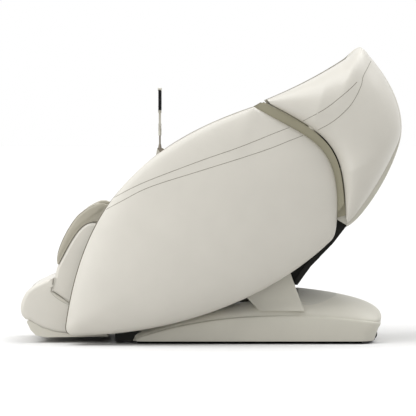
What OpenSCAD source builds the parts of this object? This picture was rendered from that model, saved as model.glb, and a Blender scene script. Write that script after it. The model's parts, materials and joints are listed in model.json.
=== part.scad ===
// Full body massage chair: tilting seat between two crowned side shells, reclining
// back with its own shells and a roller carriage, lifting leg rest with a foot unit
// that slides out, and a low base. +Z is up and the sitter faces -Y. The origin is
// on the floor under the middle of the chair. Outline points are written as [y, z].

/* [Overall] */
// Width over the two side shells
chair_width = 830; // [780:5:900]
// Running clearance between a pin and its bore, on the radius
pin_clearance = 0.05; // [0.02:0.01:0.1]
// Gap between pieces that sit on each other
seat_gap = 0.3; // [0.2:0.05:0.5]
// Gap between frames that swing past each other
swing_gap = 2; // [1:0.5:3]

/* [Side shells] */
// Depth of the outward crown of a shell
shell_crown = 80; // [60:1:95]
// Wall of the moulded shells
shell_wall = 4; // [3:0.5:6]
// Lower end of the front edge
shell_front = [-609, 86]; // [-700:1:1100]
// Highest point, where the side shell meets the shoulder shell
shell_top = [181, 1002]; // [-700:1:1100]
// Lower end of the rear edge
shell_rear = [529, 540]; // [-700:1:1100]
// Rear end of the bottom edge
shell_heel = [500, 437]; // [-700:1:1100]
// Front end of the bottom edge
shell_sole = [-570, 42]; // [-700:1:1100]

/* [Shoulder shells] */
// Front end of the edge that faces the side shell
shoulder_front = [223, 1027]; // [0:1:1300]
// Lower tip behind the side shell
shoulder_tip = [568, 506]; // [0:1:1300]
// Rearmost point
shoulder_rear = [800, 884]; // [0:1:1300]
// Top of the hood
hood_top = [638, 1252]; // [0:1:1300]
// Half width of the hood at its top
hood_half = 190; // [150:5:230]
// Half width of the rear cover at the rearmost point
rear_half = 235; // [200:5:260]
// How far the rear cover bulges past the shells
rear_bulge = 12; // [6:1:18]

/* [Pivots] */
// Pivot of the seat on the base
tilt_pivot = [269, 262]; // [0:1:500]
// Pivot of the back on the seat
recline_pivot = [200, 430]; // [0:1:500]
// Pivot of the leg rest on the seat
knee_pivot = [-425, 500]; // [-500:1:600]
// Lean of the back from upright
back_lean = 32; // [28:1:36]
// Lean of the calves from upright
calf_lean = 36; // [32:1:40]
// Radius of the pivot pins
pin_r = 12; // [8:0.5:14]

/* [Seat] */
// Half width between the arm panels
seat_half = 250; // [240:1:270]
// Thickness of the seat cushion
cushion_thick = 66; // [50:1:90]
// Thickness of a steel frame plate
plate = 8; // [5:1:10]
// Radius of the cross tubes
tube_r = 15; // [12:1:18]
// Wall of the cross tubes
tube_wall = 3; // [2:0.5:4]
// Wall of the moulded covers
cover_wall = 4; // [3:0.5:6]

/* [Arms] */
// Thickness of the padding over the hand channel
arm_flap = 45; // [30:1:55]
// Thickness of the padding under the forearm
arm_ledge = 60; // [45:1:75]

/* [Back] */
// Length of the back cushion
back_len = 880; // [820:5:900]
// Half width of the back cushion
back_half = 208; // [190:1:212]
// Thickness of the back cushion
back_pad = 45; // [35:1:55]
// Half spacing of the carriage rails
rail_half = 150; // [135:1:165]
// Side of a rail tube
rail_side = 20; // [16:1:24]
// Lowest place of the carriage along the back
carriage_low = 170; // [150:1:260]
// Travel of the massage carriage
carriage_travel = 580; // [400:10:600]
// Radius of a massage roller
roller_r = 26; // [20:1:30]
// Spacing of the two rollers on one arm
roller_pitch = 110; // [90:1:120]

/* [Leg rest] */
// Half width of the leg rest
leg_half = 212; // [200:1:213]
// Width of one calf channel
calf_channel = 130; // [115:1:140]
// Width of a padded wing outside a calf channel
calf_wing = 50; // [40:1:60]
// Thickness of the padded bed of a channel
calf_bed = 14; // [10:1:20]
// Travel of the foot unit
foot_travel = 120; // [80:5:150]
// Radius of the foot rollers
foot_roller_r = 20; // [15:1:24]

/* [Base] */
// Half width of the base at the floor
base_half = 285; // [260:1:300]
// Front end of the base
base_front = -336; // [-400:1:-300]
// Rear end of the base
base_rear = 705; // [650:1:740]
// Height of the rubber skids
skid_h = 10; // [6:1:14]
// Side of the base frame tubes
frame_side = 40; // [30:1:45]
// Radius of the transport wheels
wheel_r = 27; // [22:1:30]
// Width of a transport wheel
wheel_w = 24; // [18:1:30]

/* [Actuators] */
// Radius of an actuator tube
ram_r = 20; // [16:1:24]
// Radius of an actuator rod
rod_r = 10; // [7:1:12]
// Radius of the pin at a rod end
ram_pin_r = 6; // [5:0.5:8]
// Distance from the tilt pivot to its rod pin
tilt_lever = 120; // [100:1:130]
// Distance from the recline pivot to its rod pin
recline_lever = 90; // [80:1:100]
// Distance from the knee pivot to its rod pin
knee_lever = 75; // [65:1:85]
// Full tilt of the seat
tilt_range = 10; // [6:1:10]
// Full recline of the back
recline_range = 35; // [25:1:35]
// Full lift of the leg rest
lift_range = 55; // [40:1:60]

/* [Tablet] */
// Width of the tablet
tablet_w = 160; // [130:5:180]
// Height of the tablet
tablet_h = 97; // [85:1:110]
// Thickness of the tablet
tablet_t = 11; // [8:1:14]
// Place of its post along the arm
post_y = -225; // [-260:1:-180]
// Distance of the post from the middle of the chair
post_x = 296; // [285:1:305]
// Height of its tilt knob
knob_z = 922; // [890:1:950]

/* [Hidden] */
$fn = 48;
crown_x = chair_width / 2;
edge_x = crown_x - shell_crown;
white = [0.89, 0.89, 0.86];
cream = [0.8, 0.79, 0.75];
taupe = [0.64, 0.63, 0.57];
olive = [0.6, 0.58, 0.49];
black = [0.12, 0.12, 0.11];
steel = [0.7, 0.7, 0.7];

// ---- curves and lofts ----

// Point of a cubic curve with ends p[0], p[3] and handles p[1], p[2]
function curve_at(p, t) =
    pow(1 - t, 3) * p[0] + 3 * pow(1 - t, 2) * t * p[1] + 3 * (1 - t) * t * t * p[2] + pow(t, 3) * p[3];

// n points of the curve from t0 to t1, with the last one left out
function curve(p, n, t0 = 0, t1 = 1) = [for (i = [0:n - 1]) curve_at(p, t0 + (t1 - t0) * i / n)];

// n + 1 points of the curve from t0 to t1
function whole_curve(p, n, t0 = 0, t1 = 1) = [for (i = [0:n]) curve_at(p, t0 + (t1 - t0) * i / n)];

// Unit vector to the right of the way from a to b
function right_of(a, b) =
    let (e = [b[0] - a[0], b[1] - a[1]]) [e[1], -e[0]] / norm(e);

// A clockwise closed outline moved inward by d; further coordinates stay
function inset(o, d) =
    let (n = len(o))
    [for (i = [0:n - 1])
        let (m = right_of(o[(i + n - 1) % n], o[(i + 1) % n]) * d)
        concat([o[i][0] + m[0], o[i][1] + m[1]], len(o[i]) > 2 ? [o[i][2]] : [])];

// An open line moved to its right by d
function beside(o, d) =
    let (n = len(o))
    [for (i = [0:n - 1]) [o[i][0], o[i][1]] + right_of(o[max(i - 1, 0)], o[min(i + 1, n - 1)]) * d];

function backward(o) = [for (i = [len(o) - 1:-1:0]) o[i]];

// Rise of a crown, from 0 at the edge to 1 in the middle
function dome(s, power) = pow(1 - pow(1 - s, power), 1 / power);

// Distance from the middle of an ellipse [half length, half height, turn] to its edge
function ellipse_reach(e, a) =
    e[0] * e[1] / norm([e[1] * cos(a - e[2]), e[0] * sin(a - e[2])]);

// One level of a crowned panel: an outline of [y, z, x] drawn in toward the middle by s, while
// its corners ease into an ellipse
function crown_ring(o, mid, ellipse, s, top, power) =
    [for (q = o)
        let (v = [q[0], q[1]] - mid, ease = min(1, s / 0.42), a = atan2(v[1], v[0]),
            reach = (norm(v) * (1 - ease) + ellipse_reach(ellipse, a) * ease) * (1 - s))
        [q[2] + (top - q[2]) * dome(s, power), mid[0] + reach * cos(a), mid[1] + reach * sin(a)]];

function skin_sides(m, k) = [for (j = [0:k - 2], i = [0:m - 1])
    let (a = j * m + i, b = j * m + (i + 1) % m) each [[a, b, b + m], [a, b + m, a + m]]];

// Closed solid over rings of equally many points
module skin(rings) {
    m = len(rings[0]);
    k = len(rings);
    first = [for (i = [m - 1:-1:0]) i];
    last = [for (i = [0:m - 1]) (k - 1) * m + i];
    polyhedron([for (r = rings) each r], concat(skin_sides(m, k), [first, last]));
}

// Hollow crowned panel with an open inner side
module crowned_panel(outline, mid, ellipse, top, power, wall) {
    steps = [0, 0.015, 0.05, 0.12, 0.24, 0.42, 0.66, 0.93];
    inner_steps = [0, 0.03, 0.12, 0.3, 0.6, 0.93];
    inner = inset(outline, wall);
    outside = [for (s = steps) crown_ring(outline, mid, ellipse, s, top, power)];
    inside = [for (s = inner_steps) crown_ring(inner, mid, ellipse, s, top - wall, power)];
    skin(concat(backward(inside), outside));
}

// Open tub: stations of points from one rim over the top to the other rim, outside and inside
module tub(outside, inside) {
    m = len(outside[0]);
    k = len(outside);
    h = m * k;
    walls = [for (j = [0:k - 2], i = [0:m - 2])
        let (a = j * m + i, b = a + 1, c = b + m, d = a + m)
        each [[a, b, c], [a, c, d], [h + c, h + b, h + a], [h + d, h + c, h + a]]];
    rims = [for (j = [0:k - 2])
        let (a = j * m, d = a + m, b = a + m - 1, c = b + m)
        each [[a, d, h + d], [a, h + d, h + a], [c, b, h + b], [c, h + b, h + c]]];
    e = (k - 1) * m;
    ends = [
        [for (i = [m - 1:-1:0]) i], [for (i = [0:m - 1]) e + i],
        [for (i = [0:m - 1]) h + i], [for (i = [m - 1:-1:0]) h + e + i],
        [0, h, h + m - 1, m - 1], [e + m - 1, h + e + m - 1, h + e, e]
    ];
    polyhedron([for (s = concat(outside, inside)) each s], concat(walls, rims, ends));
}

// Pillow between two sides: an outline of [y, z] whose long edges are rounded by r at x0 and x1
module pillow(outline, x0, x1, r) {
    turns = [0, 25, 50, 75, 90];
    near = [for (a = turns) let (o = inset(outline, r * (1 - sin(a)))) [for (q = o) [x0 + r * (1 - cos(a)), q[0], q[1]]]];
    far = [for (a = backward(turns)) let (o = inset(outline, r * (1 - sin(a)))) [for (q = o) [x1 - r * (1 - cos(a)), q[0], q[1]]]];
    skin(concat(near, far));
}

// Extrudes a [y, z] shape from x0 to x1
module across(x0, x1) {
    translate([x0, 0, 0]) rotate([90, 0, 90]) linear_extrude(x1 - x0) children();
}

// Round bar or bore along X through a [y, z] point
module bar(at, r, x0, x1) {
    translate([x0, at[0], at[1]]) rotate([0, 90, 0]) cylinder(r = r, h = x1 - x0);
}

// Mirrored copy for the other side of the chair
module on_side(side) {
    mirror([side < 0 ? 1 : 0, 0, 0]) children();
}

module both_sides() {
    children();
    mirror([1, 0, 0]) children();
}

// Frame of the back: origin on the recline pivot, Z up along the back
module in_back() {
    translate([0, recline_pivot[0], recline_pivot[1]]) rotate([-back_lean, 0, 0]) children();
}

// A [y, z] point of the back's frame, seen from the chair
function back_point(p) = recline_pivot
    + [p[0] * cos(back_lean) + p[1] * sin(back_lean), p[1] * cos(back_lean) - p[0] * sin(back_lean)];

// Frame of the leg rest: origin on the knee pivot, Z up along the calves
module in_leg() {
    translate([0, knee_pivot[0], knee_pivot[1]]) rotate([-calf_lean, 0, 0]) children();
}

// A [y, z] point of the leg rest's frame, seen from the chair
function leg_point(p) = knee_pivot
    + [p[0] * cos(calf_lean) + p[1] * sin(calf_lean), p[1] * cos(calf_lean) - p[0] * sin(calf_lean)];

// Point at a distance and an angle from another
function polar(from, r, a) = from + r * [cos(a), sin(a)];

// ---- outlines ----

function with_x(p, x) = [p[0], p[1], x];

// Front and top edge of the side shell, from the floor end to the shoulder
shell_edge_top = [shell_front, shell_front + [74, 514], shell_top - [475, 161], shell_top];
// Rear edge of the side shell
shell_edge_rear = [shell_top, shell_top + [229, -137], shell_rear + [16, 325], shell_rear];
shell_outline = [for (p = concat(
    curve(shell_edge_top, 16),
    curve(shell_edge_rear, 12),
    curve([shell_rear, shell_rear - [3, 60], shell_heel + [20, 18], shell_heel], 4),
    curve([shell_heel, shell_heel - [265, 257], shell_sole + [385, -2], shell_sole], 14),
    curve([shell_sole, shell_sole - [30, 0], shell_front - [4, 31], shell_front], 4)
)) with_x(p, edge_x)];
shell_mid = [-20, 470];
shell_ellipse = [560, 300, 35];

// Edge of the shoulder shell that faces the side shell
band_edge = [shoulder_front, shoulder_front + [307, -157], shoulder_tip + [-8, 324], shoulder_tip];
// Rear edges of the shoulder shell, with the half width there as third value
tip_x = edge_x - 12;
rear_low = [with_x(shoulder_tip, tip_x), with_x(shoulder_tip + [50, 44], tip_x),
    with_x(shoulder_rear - [42, 140], rear_half), with_x(shoulder_rear, rear_half)];
rear_high = [with_x(shoulder_rear, rear_half), with_x(shoulder_rear + [14, 140], rear_half),
    with_x(hood_top + [92, -100], hood_half), with_x(hood_top, hood_half)];
hood_edge = [with_x(hood_top, hood_half), with_x(hood_top - [139, 101], hood_half + 30),
    with_x(shoulder_front + [132, 53], edge_x), with_x(shoulder_front, edge_x)];
band_edge_x = [for (i = [0:3]) with_x(band_edge[i], edge_x - 4 * i)];

// Sections of a shoulder panel, from its band edge to its outer edge: drawn in by d, crowned
// out to top, starting at t0 from the corners, with the band edge lower by drop
function shoulder_rows(d, top, t0, drop = 0) =
    let (
        band = whole_curve(band_edge_x, 17, t0, 1 - t0),
        outer = concat(
            curve(backward(hood_edge), 7, t0, 1),
            curve(backward(rear_high), 5),
            whole_curve(backward(rear_low), 5, 0, 1 - t0)
        ),
        a = beside(band, -d),
        b = beside(outer, d),
        crest = 0.32
    )
    [for (i = [0:17])
        let (near = band[i][2] - drop, far = outer[i][2],
            high = near + (top - near) * pow(min(1, norm(b[i] - a[i]) / 260), 0.6))
        [for (u = [0, 0.02, 0.08, 0.18, crest, 0.5, 0.68, 0.83, 0.93, 0.98, 1])
            let (x = u < crest ? near + (high - near) * dome(u / crest, 2.2)
                : far + (high - far) * dome((1 - u) / (1 - crest), 2.1))
            concat([x], a[i] + (b[i] - a[i]) * u)]];

// ---- base ----

skid_top = skid_h;
bracket_in = seat_half - 14;
fin_in = bracket_in + plate + swing_gap;
fin_out = base_half + 1;
ram_z = tilt_pivot[1] - tilt_lever * (1 + cos(tilt_range / 2)) / 2;
ram_collar = ram_r + 5;
tilt_ram_y = base_front + 256;
rear_axle = [base_rear - 25, skid_h + 28];
runner_in = bracket_in - frame_side + plate;
frame_wall = 4;
tray_wall = 3;
wheel_in = runner_in - wheel_w - 4;

module bracket_shape() {
    difference() {
        hull() {
            translate(tilt_pivot) circle(r = pin_r + 22);
            translate([tilt_pivot[0] - 110, skid_top + frame_side]) square([220, 1]);
        }
        translate(tilt_pivot) circle(r = pin_r + pin_clearance);
    }
}

// Channel section rail with its open side down
module channel(at, size) {
    translate(at) difference() {
        cube(size);
        translate([frame_wall, frame_wall, -1])
            cube([size[0] - 2 * frame_wall, size[1] - 2 * frame_wall, size[2] - frame_wall + 1]);
    }
}

// Welded steel frame: two runners, four cross rails and the brackets of the tilt pivot
module base_frame() {
    color(black) {
        both_sides() {
            channel([runner_in, base_front - 70, skid_top],
                [frame_side, base_rear - base_front + 10, frame_side]);
            across(bracket_in, bracket_in + plate) bracket_shape();
            translate([wheel_in - 10, rear_axle[0] - 60, skid_top])
                difference() {
                    cube([6, 78, frame_side + 6]);
                    translate([-1, 60, rear_axle[1] - skid_top])
                        rotate([0, 90, 0]) cylinder(r = 6, h = 8);
                }
        }
        for (y = [base_front - 70, base_front + 250, tilt_pivot[0] + 130, base_rear - 96])
            channel([-runner_in - frame_wall, y, skid_top],
                [2 * (runner_in + frame_wall), frame_side, frame_side]);
        translate([-160, base_front + 60, skid_top]) cube([120, 200, tray_wall]);
        translate([-120, tilt_pivot[0] + 160, skid_top]) cube([240, 190, tray_wall]);
        ram_stand();
    }
}

// Upright that holds the tilt actuator over a cross tube
module ram_stand() {
    difference() {
        translate([-ram_collar - 6, tilt_ram_y, skid_top + frame_side - 1])
            cube([2 * ram_collar + 12, 18, ram_z - skid_top - frame_side + ram_collar + 7]);
        translate([0, tilt_ram_y - 1, ram_z]) rotate([-90, 0, 0]) cylinder(r = ram_collar + pin_clearance, h = 20);
    }
}

deck_front = [[base_front, 54], [base_front + 186, 110], [100, 225], [330, 243]];
deck_rear = [[330, 243], [455, 245], [base_rear + 40, 185], [base_rear + 13, 107]];
skirt_crease = [[base_front + 2, 16], [-20, 140], [375, 140], [base_rear - 4, 92]];

// Stations of the base cover, drawn in by a wall on the inside
function base_station(t, d) =
    let (
        split = 0.62,
        deck = t < split ? curve_at(deck_front, t / split) : curve_at(deck_rear, (t - split) / (1 - split)),
        crease = curve_at(skirt_crease, t),
        foot_y = base_front + (base_rear - base_front) * t,
        plan = pow(1 - pow(abs(2 * t - 1), t > 0.5 ? 14 : 7), 0.4),
        y_in = d * (1 - 2 * t),
        w = base_half * plan - d,
        narrow = 165 + 72 / (1 + exp((deck[0] - 430) / 14)),
        w_deck = min(narrow * plan, w * 0.9) - d,
        c = max(crease[1] - d / 2, skid_top + 3)
    )
    [for (q = [
        [-w, foot_y + y_in, skid_top + 2], [-w + 3, crease[0] + y_in, c],
        [-(w_deck + 7), crease[0] * 0.7 + deck[0] * 0.3 + y_in, c * 0.7 + (deck[1] - d) * 0.3],
        [-w_deck - 6, deck[0] + y_in, deck[1] - d - 3], [-w_deck * 0.8, deck[0] + y_in, deck[1] - d],
        [w_deck * 0.8, deck[0] + y_in, deck[1] - d], [w_deck + 6, deck[0] + y_in, deck[1] - d - 3],
        [w_deck + 7, crease[0] * 0.7 + deck[0] * 0.3 + y_in, c * 0.7 + (deck[1] - d) * 0.3],
        [w - 3, crease[0] + y_in, c], [w, foot_y + y_in, skid_top + 2]
    ]) q];

fin_outline = concat(
    whole_curve([[142, 150], [150, 200], tilt_pivot + [-70, 40], tilt_pivot + [-22, 62]], 6),
    whole_curve([tilt_pivot + [10, 66], tilt_pivot + [60, 60], [352, 250], [392, 150]], 8)
);

// Moulded cover with a long skirt, a sloping deck and a well for the mechanism
module base_cover() {
    n = 26;
    spread = [for (i = [0:n]) 0.5 - 0.492 * cos(180 * i / n)];
    well = [base_front + 90, tilt_pivot[0] + 136];
    color(cream) difference() {
        tub(backward([for (t = spread) base_station(t, 0)]), backward([for (t = spread) base_station(t, cover_wall)]));
        translate([-bracket_in + 22, well[0], skid_top + frame_side + 4])
            cube([2 * bracket_in - 44, well[1] - well[0], 300]);
        both_sides() translate([bracket_in - 23, tilt_pivot[0] - 122, skid_top])
            cube([plate + 25, 244, 300]);
        both_sides() {
            translate([wheel_in - 14, rear_axle[0] - wheel_r - 5, 0])
                cube([wheel_w + 24, 2 * wheel_r + 40, rear_axle[1] + wheel_r + 4]);
            translate([runner_in - seat_gap, base_front - 40, 0])
                cube([frame_side + 2 * seat_gap, 200, skid_top + frame_side + seat_gap]);
            across(fin_in - seat_gap, fin_out + seat_gap) polygon(inset(fin_outline, -seat_gap));
        }
        translate([-50, panel_back - 4, 0]) cube([100, 120, panel_z + 30]);
    }
}

// Covers that rise through the deck around the tilt pivot, on bosses against the brackets
module pivot_covers() {
    color(cream) both_sides() {
        pillow(fin_outline, fin_in, fin_out, 8);
        for (y = [-44, 44]) bar(tilt_pivot + [y, -70], 12, bracket_in + plate + seat_gap, fin_in + 6);
    }
}

// Rubber skids under the runners
module floor_skids() {
    color(black) both_sides()
        translate([runner_in + 4, base_front + 24, 0])
            cube([frame_side - 8, base_rear - base_front - 90, skid_h]);
}

module wheel() {
    rotate([0, 90, 0]) difference() {
        rotate_extrude() polygon([
            [0, 0], [wheel_r - 3, 0], [wheel_r, 3], [wheel_r, wheel_w - 3],
            [wheel_r - 3, wheel_w], [wheel_r - 8, wheel_w], [wheel_r - 10, wheel_w - 4],
            [10, wheel_w - 4], [10, wheel_w], [0, wheel_w]
        ]);
        translate([0, 0, -1]) cylinder(r = 6 + pin_clearance, h = wheel_w + 2);
    }
}

module wheel_left() {
    color(black) translate([wheel_in, rear_axle[0], rear_axle[1]]) wheel();
}

module wheel_right() {
    color(black) mirror([1, 0, 0]) translate([wheel_in, rear_axle[0], rear_axle[1]]) wheel();
}

// Axle of the transport wheels, with a collar outside each wheel
module wheel_axle() {
    color(steel) {
        bar(rear_axle, 6, -wheel_in - wheel_w - 4, wheel_in + wheel_w + 4);
        both_sides() bar(rear_axle, 9, wheel_in + wheel_w + 0.5, wheel_in + wheel_w + 4);
    }
}

// ---- power panel at the rear of the base ----

panel_face = base_rear - 38;
panel_back = base_rear - 96 + frame_side + seat_gap;
panel_z = skid_h + 30;
rocker_at = [panel_face - 5, panel_z];
rocker_x = 22;

// Housing on the rear cross tube, with a three pin inlet and the window of the switch
module power_inlet() {
    color(black) difference() {
        translate([-46, panel_back, panel_z - 23]) cube([92, panel_face - panel_back, 46]);
        translate([-2, panel_back - 1, panel_z - 19]) cube([44, panel_face - panel_back - 2, 38]);
        translate([rocker_x - 10, panel_back, panel_z - 13]) cube([20, 40, 26]);
        translate([-34, panel_face - 11, panel_z - 9]) difference() {
            cube([26, 20, 18]);
            for (p = [[5, 6], [12, 11], [19, 6]]) translate([p[0], 0, p[1]]) cube([2, 9, 4]);
        }
    }
    color(black) for (x = [rocker_x - 13, rocker_x + 10.4]) difference() {
        translate([x, panel_face - 12, panel_z - 6]) cube([2.6, 10, 12]);
        bar(rocker_at, 2 + pin_clearance, x - 1, x + 4);
    }
}

module power_switch() {
    color([0.5, 0.1, 0.1]) {
        across(rocker_x - 9, rocker_x + 9) translate(rocker_at)
            polygon([[-4, -9], [4.5, -11], [7, -11], [5, 0], [7, 11], [4.5, 11], [-4, 9]]);
        bar(rocker_at, 2, rocker_x - 12.8, rocker_x + 12.8);
    }
}

// Shaft that carries the seat in the brackets of the base
module tilt_shaft() {
    color(steel) {
        bar(tilt_pivot, pin_r, -bracket_in - plate - 1, bracket_in + plate + 1);
    }
}

module power_supply() {
    color(steel) translate([-110, 470, skid_top + tray_wall + seat_gap]) {
        cube([220, 110, 62]);
        for (x = [12:14:200]) translate([x, 8, 61]) cube([5, 94, 5]);
    }
}

module air_pump() {
    color(black) translate([-150, base_front + 112, skid_top + tray_wall + seat_gap]) {
        cube([92, 120, 52]);
        for (x = [24, 68]) translate([x, 60, 50]) cylinder(r = 19, h = 20);
        translate([92, 40, 20]) rotate([0, 90, 0]) cylinder(r = 5, h = 14);
    }
}

// ---- actuators: each has a tube, a rod that slides in it and an open eye round a pin ----

// Tube of an actuator that points along +Y from a [y, z] end, in its own frame
module ram_tube(length) {
    difference() {
        union() {
            rotate([-90, 0, 0]) cylinder(r = ram_r, h = length);
            rotate([-90, 0, 0]) cylinder(r = ram_collar, h = 26);
            translate([0, 20, -ram_r - 16]) rotate([-90, 0, 0]) cylinder(r = 17, h = 62);
            translate([-12, 20, -ram_r - 4]) cube([24, 16, 12]);
            translate([-12, 66, -ram_r - 4]) cube([24, 16, 12]);
        }
        translate([0, 34, 0]) rotate([-90, 0, 0]) cylinder(r = rod_r + pin_clearance, h = length);
    }
}

// Rod from y0 to the middle of its eye at y1
module ram_rod(y0, y1, eye_r) {
    difference() {
        union() {
            translate([0, y0, 0]) rotate([-90, 0, 0]) cylinder(r = rod_r, h = y1 - eye_r - y0);
            bar([y1, 0], eye_r + 6, -8, 8);
        }
        bar([y1, 0], eye_r, -9, 9);
    }
}

tilt_pin = polar(tilt_pivot, tilt_lever, tilt_range / 2 - 90);
recline_pin = polar(recline_pivot, recline_lever, recline_range / 2 - 90);
recline_ram_z = recline_pivot[1] - recline_lever * (1 + cos(recline_range / 2)) / 2;
// Direction of the leg rest actuator, falling to the rear
knee_slope = 21;
knee_pin = polar(knee_pivot, knee_lever, lift_range / 2 - 90 - knee_slope);
// Sag of a rod pin's arc either side of the rod line
function arc_sag(lever, range) = lever * (1 - cos(range / 2)) / 2;
knee_line = polar(knee_pin, arc_sag(knee_lever, lift_range), -90 - knee_slope);
knee_ram_len = 330;
ram_x = 60;
// Half the space between the two lugs that hold a rod pin
lug_half = rod_r + 1;

module tilt_actuator() {
    color(steel) translate([0, tilt_ram_y, ram_z])
        ram_tube(tilt_pin[0] - tilt_ram_y - 62);
}

module tilt_rod() {
    color(steel) translate([0, 0, ram_z])
        ram_rod(tilt_ram_y + 60, tilt_pin[0], ram_pin_r + arc_sag(tilt_lever, tilt_range) + 0.6);
}

module recline_actuator() {
    color(steel) translate([ram_x, recline_ram_y, recline_ram_z])
        ram_tube(recline_pin[0] - recline_ram_y - 100);
}

module recline_rod() {
    color(steel) translate([ram_x, 0, recline_ram_z])
        ram_rod(recline_ram_y + 110, recline_pin[0], ram_pin_r + arc_sag(recline_lever, recline_range) + 0.8);
}

// Frame of the leg rest actuator: origin on its rod line, +Y toward the knee
module in_knee_ram() {
    translate([-ram_x, knee_line[0], knee_line[1]]) rotate([-knee_slope, 0, 0]) mirror([0, 1, 0]) children();
}

module legrest_actuator() {
    color(steel) in_knee_ram() translate([0, -knee_ram_len, 0]) ram_tube(knee_ram_len - 110);
}

module legrest_rod() {
    color(steel) in_knee_ram()
        ram_rod(100 - knee_ram_len, 0, ram_pin_r + arc_sag(knee_lever, lift_range) + 1);
}

// ---- seat ----

knee_drop = knee_pivot + [52, -98];
seat_link = tilt_pivot + [-130, 22];
frame_in = bracket_in - swing_gap - plate;
seat_front = knee_pivot + [64, -46];
seat_back = recline_pivot + [-62, -30];
// Bottom of the cushion, straight from seat_front to seat_back
function seat_line(y) =
    seat_front[1] + (seat_back[1] - seat_front[1]) * (y - seat_front[0]) / (seat_back[0] - seat_front[0]);
tube_low = seat_gap + cover_wall + seat_gap + tube_r;
seat_tubes = [for (y = [seat_front[0] + 34, -110, 96]) [y, seat_line(y) - tube_low]];
recline_ram_y = -215;
cradle_bar = [recline_ram_y + 13, seat_line(recline_ram_y) - tube_low];

// Flat link with round ends of radius ra and rb, joined by their common tangents
module link(a, b, ra, rb) {
    way = b - a;
    turn = atan2(way[1], way[0]);
    lean = acos((ra - rb) / norm(way));
    translate(a) circle(r = ra);
    translate(b) circle(r = rb);
    polygon([
        polar(a, ra, turn + lean), polar(a, ra, turn - lean),
        polar(b, rb, turn - lean), polar(b, rb, turn + lean)
    ]);
}

module seat_plate_shape() {
    difference() {
        union() {
            link(knee_pivot, knee_drop, 24, 26);
            link(knee_drop, seat_link, 26, 30);
            link(seat_link, tilt_pivot, 30, 34);
            link(tilt_pivot, recline_pivot, 34, 32);
            link(seat_link, recline_pivot, 26, 30);
            for (p = concat(seat_tubes, [cradle_bar]))
                translate([p[0] - tube_r, p[1] - 90]) square([2 * tube_r, 90 + tube_r]);
        }
        translate(tilt_pivot) circle(r = pin_r + pin_clearance);
        for (t = [0.2, 0.4, 0.6, 0.8]) translate(knee_drop + t * (seat_link - knee_drop)) circle(r = 13);
        for (p = seat_tubes) translate(p) circle(r = tube_r - tube_wall);
    }
}

// Two side plates with cross tubes, hinge pins and the sleeve of the tilt shaft
module seat_frame() {
    color(black) {
        both_sides() {
            across(frame_in, frame_in + plate) seat_plate_shape();
            bar(knee_pivot, pin_r, frame_in - plate - swing_gap - 2, frame_in + 2);
            bar(recline_pivot, pin_r, frame_in - plate - swing_gap - 2, frame_in + 2);
        }
        for (p = seat_tubes) difference() {
            bar(p, tube_r, -frame_in - 2, frame_in + 2);
            bar(p, tube_r - tube_wall, -frame_in - 3, frame_in + 3);
        }
        difference() {
            union() {
                bar(tilt_pivot, pin_r + 9, -frame_in - 2, frame_in + 2);
                for (x = [-19, 11]) across(x, x + 8) polygon([
                    tilt_pivot + [-16, 0], tilt_pivot + [16, 0], tilt_pin + [12, -12], tilt_pin + [-12, -12]
                ]);
            }
            bar(tilt_pivot, pin_r + pin_clearance, -frame_in - 3, frame_in + 3);
        }
        bar(tilt_pin, ram_pin_r, -18, 18);
        ram_bridge();
    }
}

// Cradles under the seat that hold the recline and leg rest actuators
module ram_bridge() {
    difference() {
        translate([ram_x - 30, recline_ram_y + 2, recline_ram_z - 2])
            cube([60, 22, seat_line(recline_ram_y) - tube_low - recline_ram_z + 8]);
        translate([ram_x, recline_ram_y, recline_ram_z]) rotate([-90, 0, 0])
            cylinder(r = ram_collar + pin_clearance, h = 30);
    }
    bar(cradle_bar, 9, -frame_in - 2, frame_in + 2);
    difference() {
        in_knee_ram() translate([-30, 4 - knee_ram_len, -2]) cube([60, 20, 100]);
        in_knee_ram() translate([0, -knee_ram_len, 0]) rotate([-90, 0, 0])
            cylinder(r = ram_collar + pin_clearance, h = 30);
        across(-200, 200) polygon([
            [-400, seat_line(-400) - seat_gap - cover_wall - 1], [200, seat_line(200) - seat_gap - cover_wall - 1],
            [200, 700], [-400, 700]
        ]);
    }
}

// Pressed steel pan under the cushion, with a turned down front lip
module seat_pan() {
    low = seat_gap + cover_wall;
    pan = [
        [seat_front[0] + 4, seat_line(seat_front[0]) - 40], [seat_front[0] + 4, seat_line(seat_front[0] + 4) - seat_gap],
        [seat_back[0], seat_back[1] - seat_gap], [seat_back[0], seat_back[1] - low],
        [seat_front[0] + 4 + cover_wall, seat_line(seat_front[0] + 4) - low],
        [seat_front[0] + 4 + cover_wall, seat_line(seat_front[0]) - 40]
    ];
    color(steel) difference() {
        across(seat_gap - frame_in, frame_in - seat_gap) polygon(pan);
        for (y = [-260:80:60], x = [-130:130:130]) translate([x, y, 300]) cylinder(r = 22, h = 300);
    }
}

cushion_outline = concat(
    curve([seat_front, seat_front + [-12, cushion_thick - 6], seat_front + [4, cushion_thick], seat_front + [56, cushion_thick - 2]], 6),
    curve([seat_front + [56, cushion_thick - 2], seat_front + [190, cushion_thick - 30],
        seat_back + [-220, cushion_thick - 6], seat_back + [-80, cushion_thick - 4]], 8),
    curve([seat_back + [-80, cushion_thick - 4], seat_back + [-30, cushion_thick],
        seat_back + [2, cushion_thick - 4], seat_back + [0, cushion_thick - 26]], 5),
    [seat_back]
);

module seat_cushion() {
    color(taupe) pillow(cushion_outline, 4 - seat_half, seat_half - 4, 12);
}

module side_shell(side) {
    color(white) on_side(side) crowned_panel(shell_outline, shell_mid, shell_ellipse, crown_x, 2.2, shell_wall);
}

module side_shell_left() { side_shell(1); }

module side_shell_right() { side_shell(-1); }

boss_r = 17;
rim_x = edge_x - seat_gap;
liner_x = rim_x - 9;
band_gap = 5;

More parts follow.
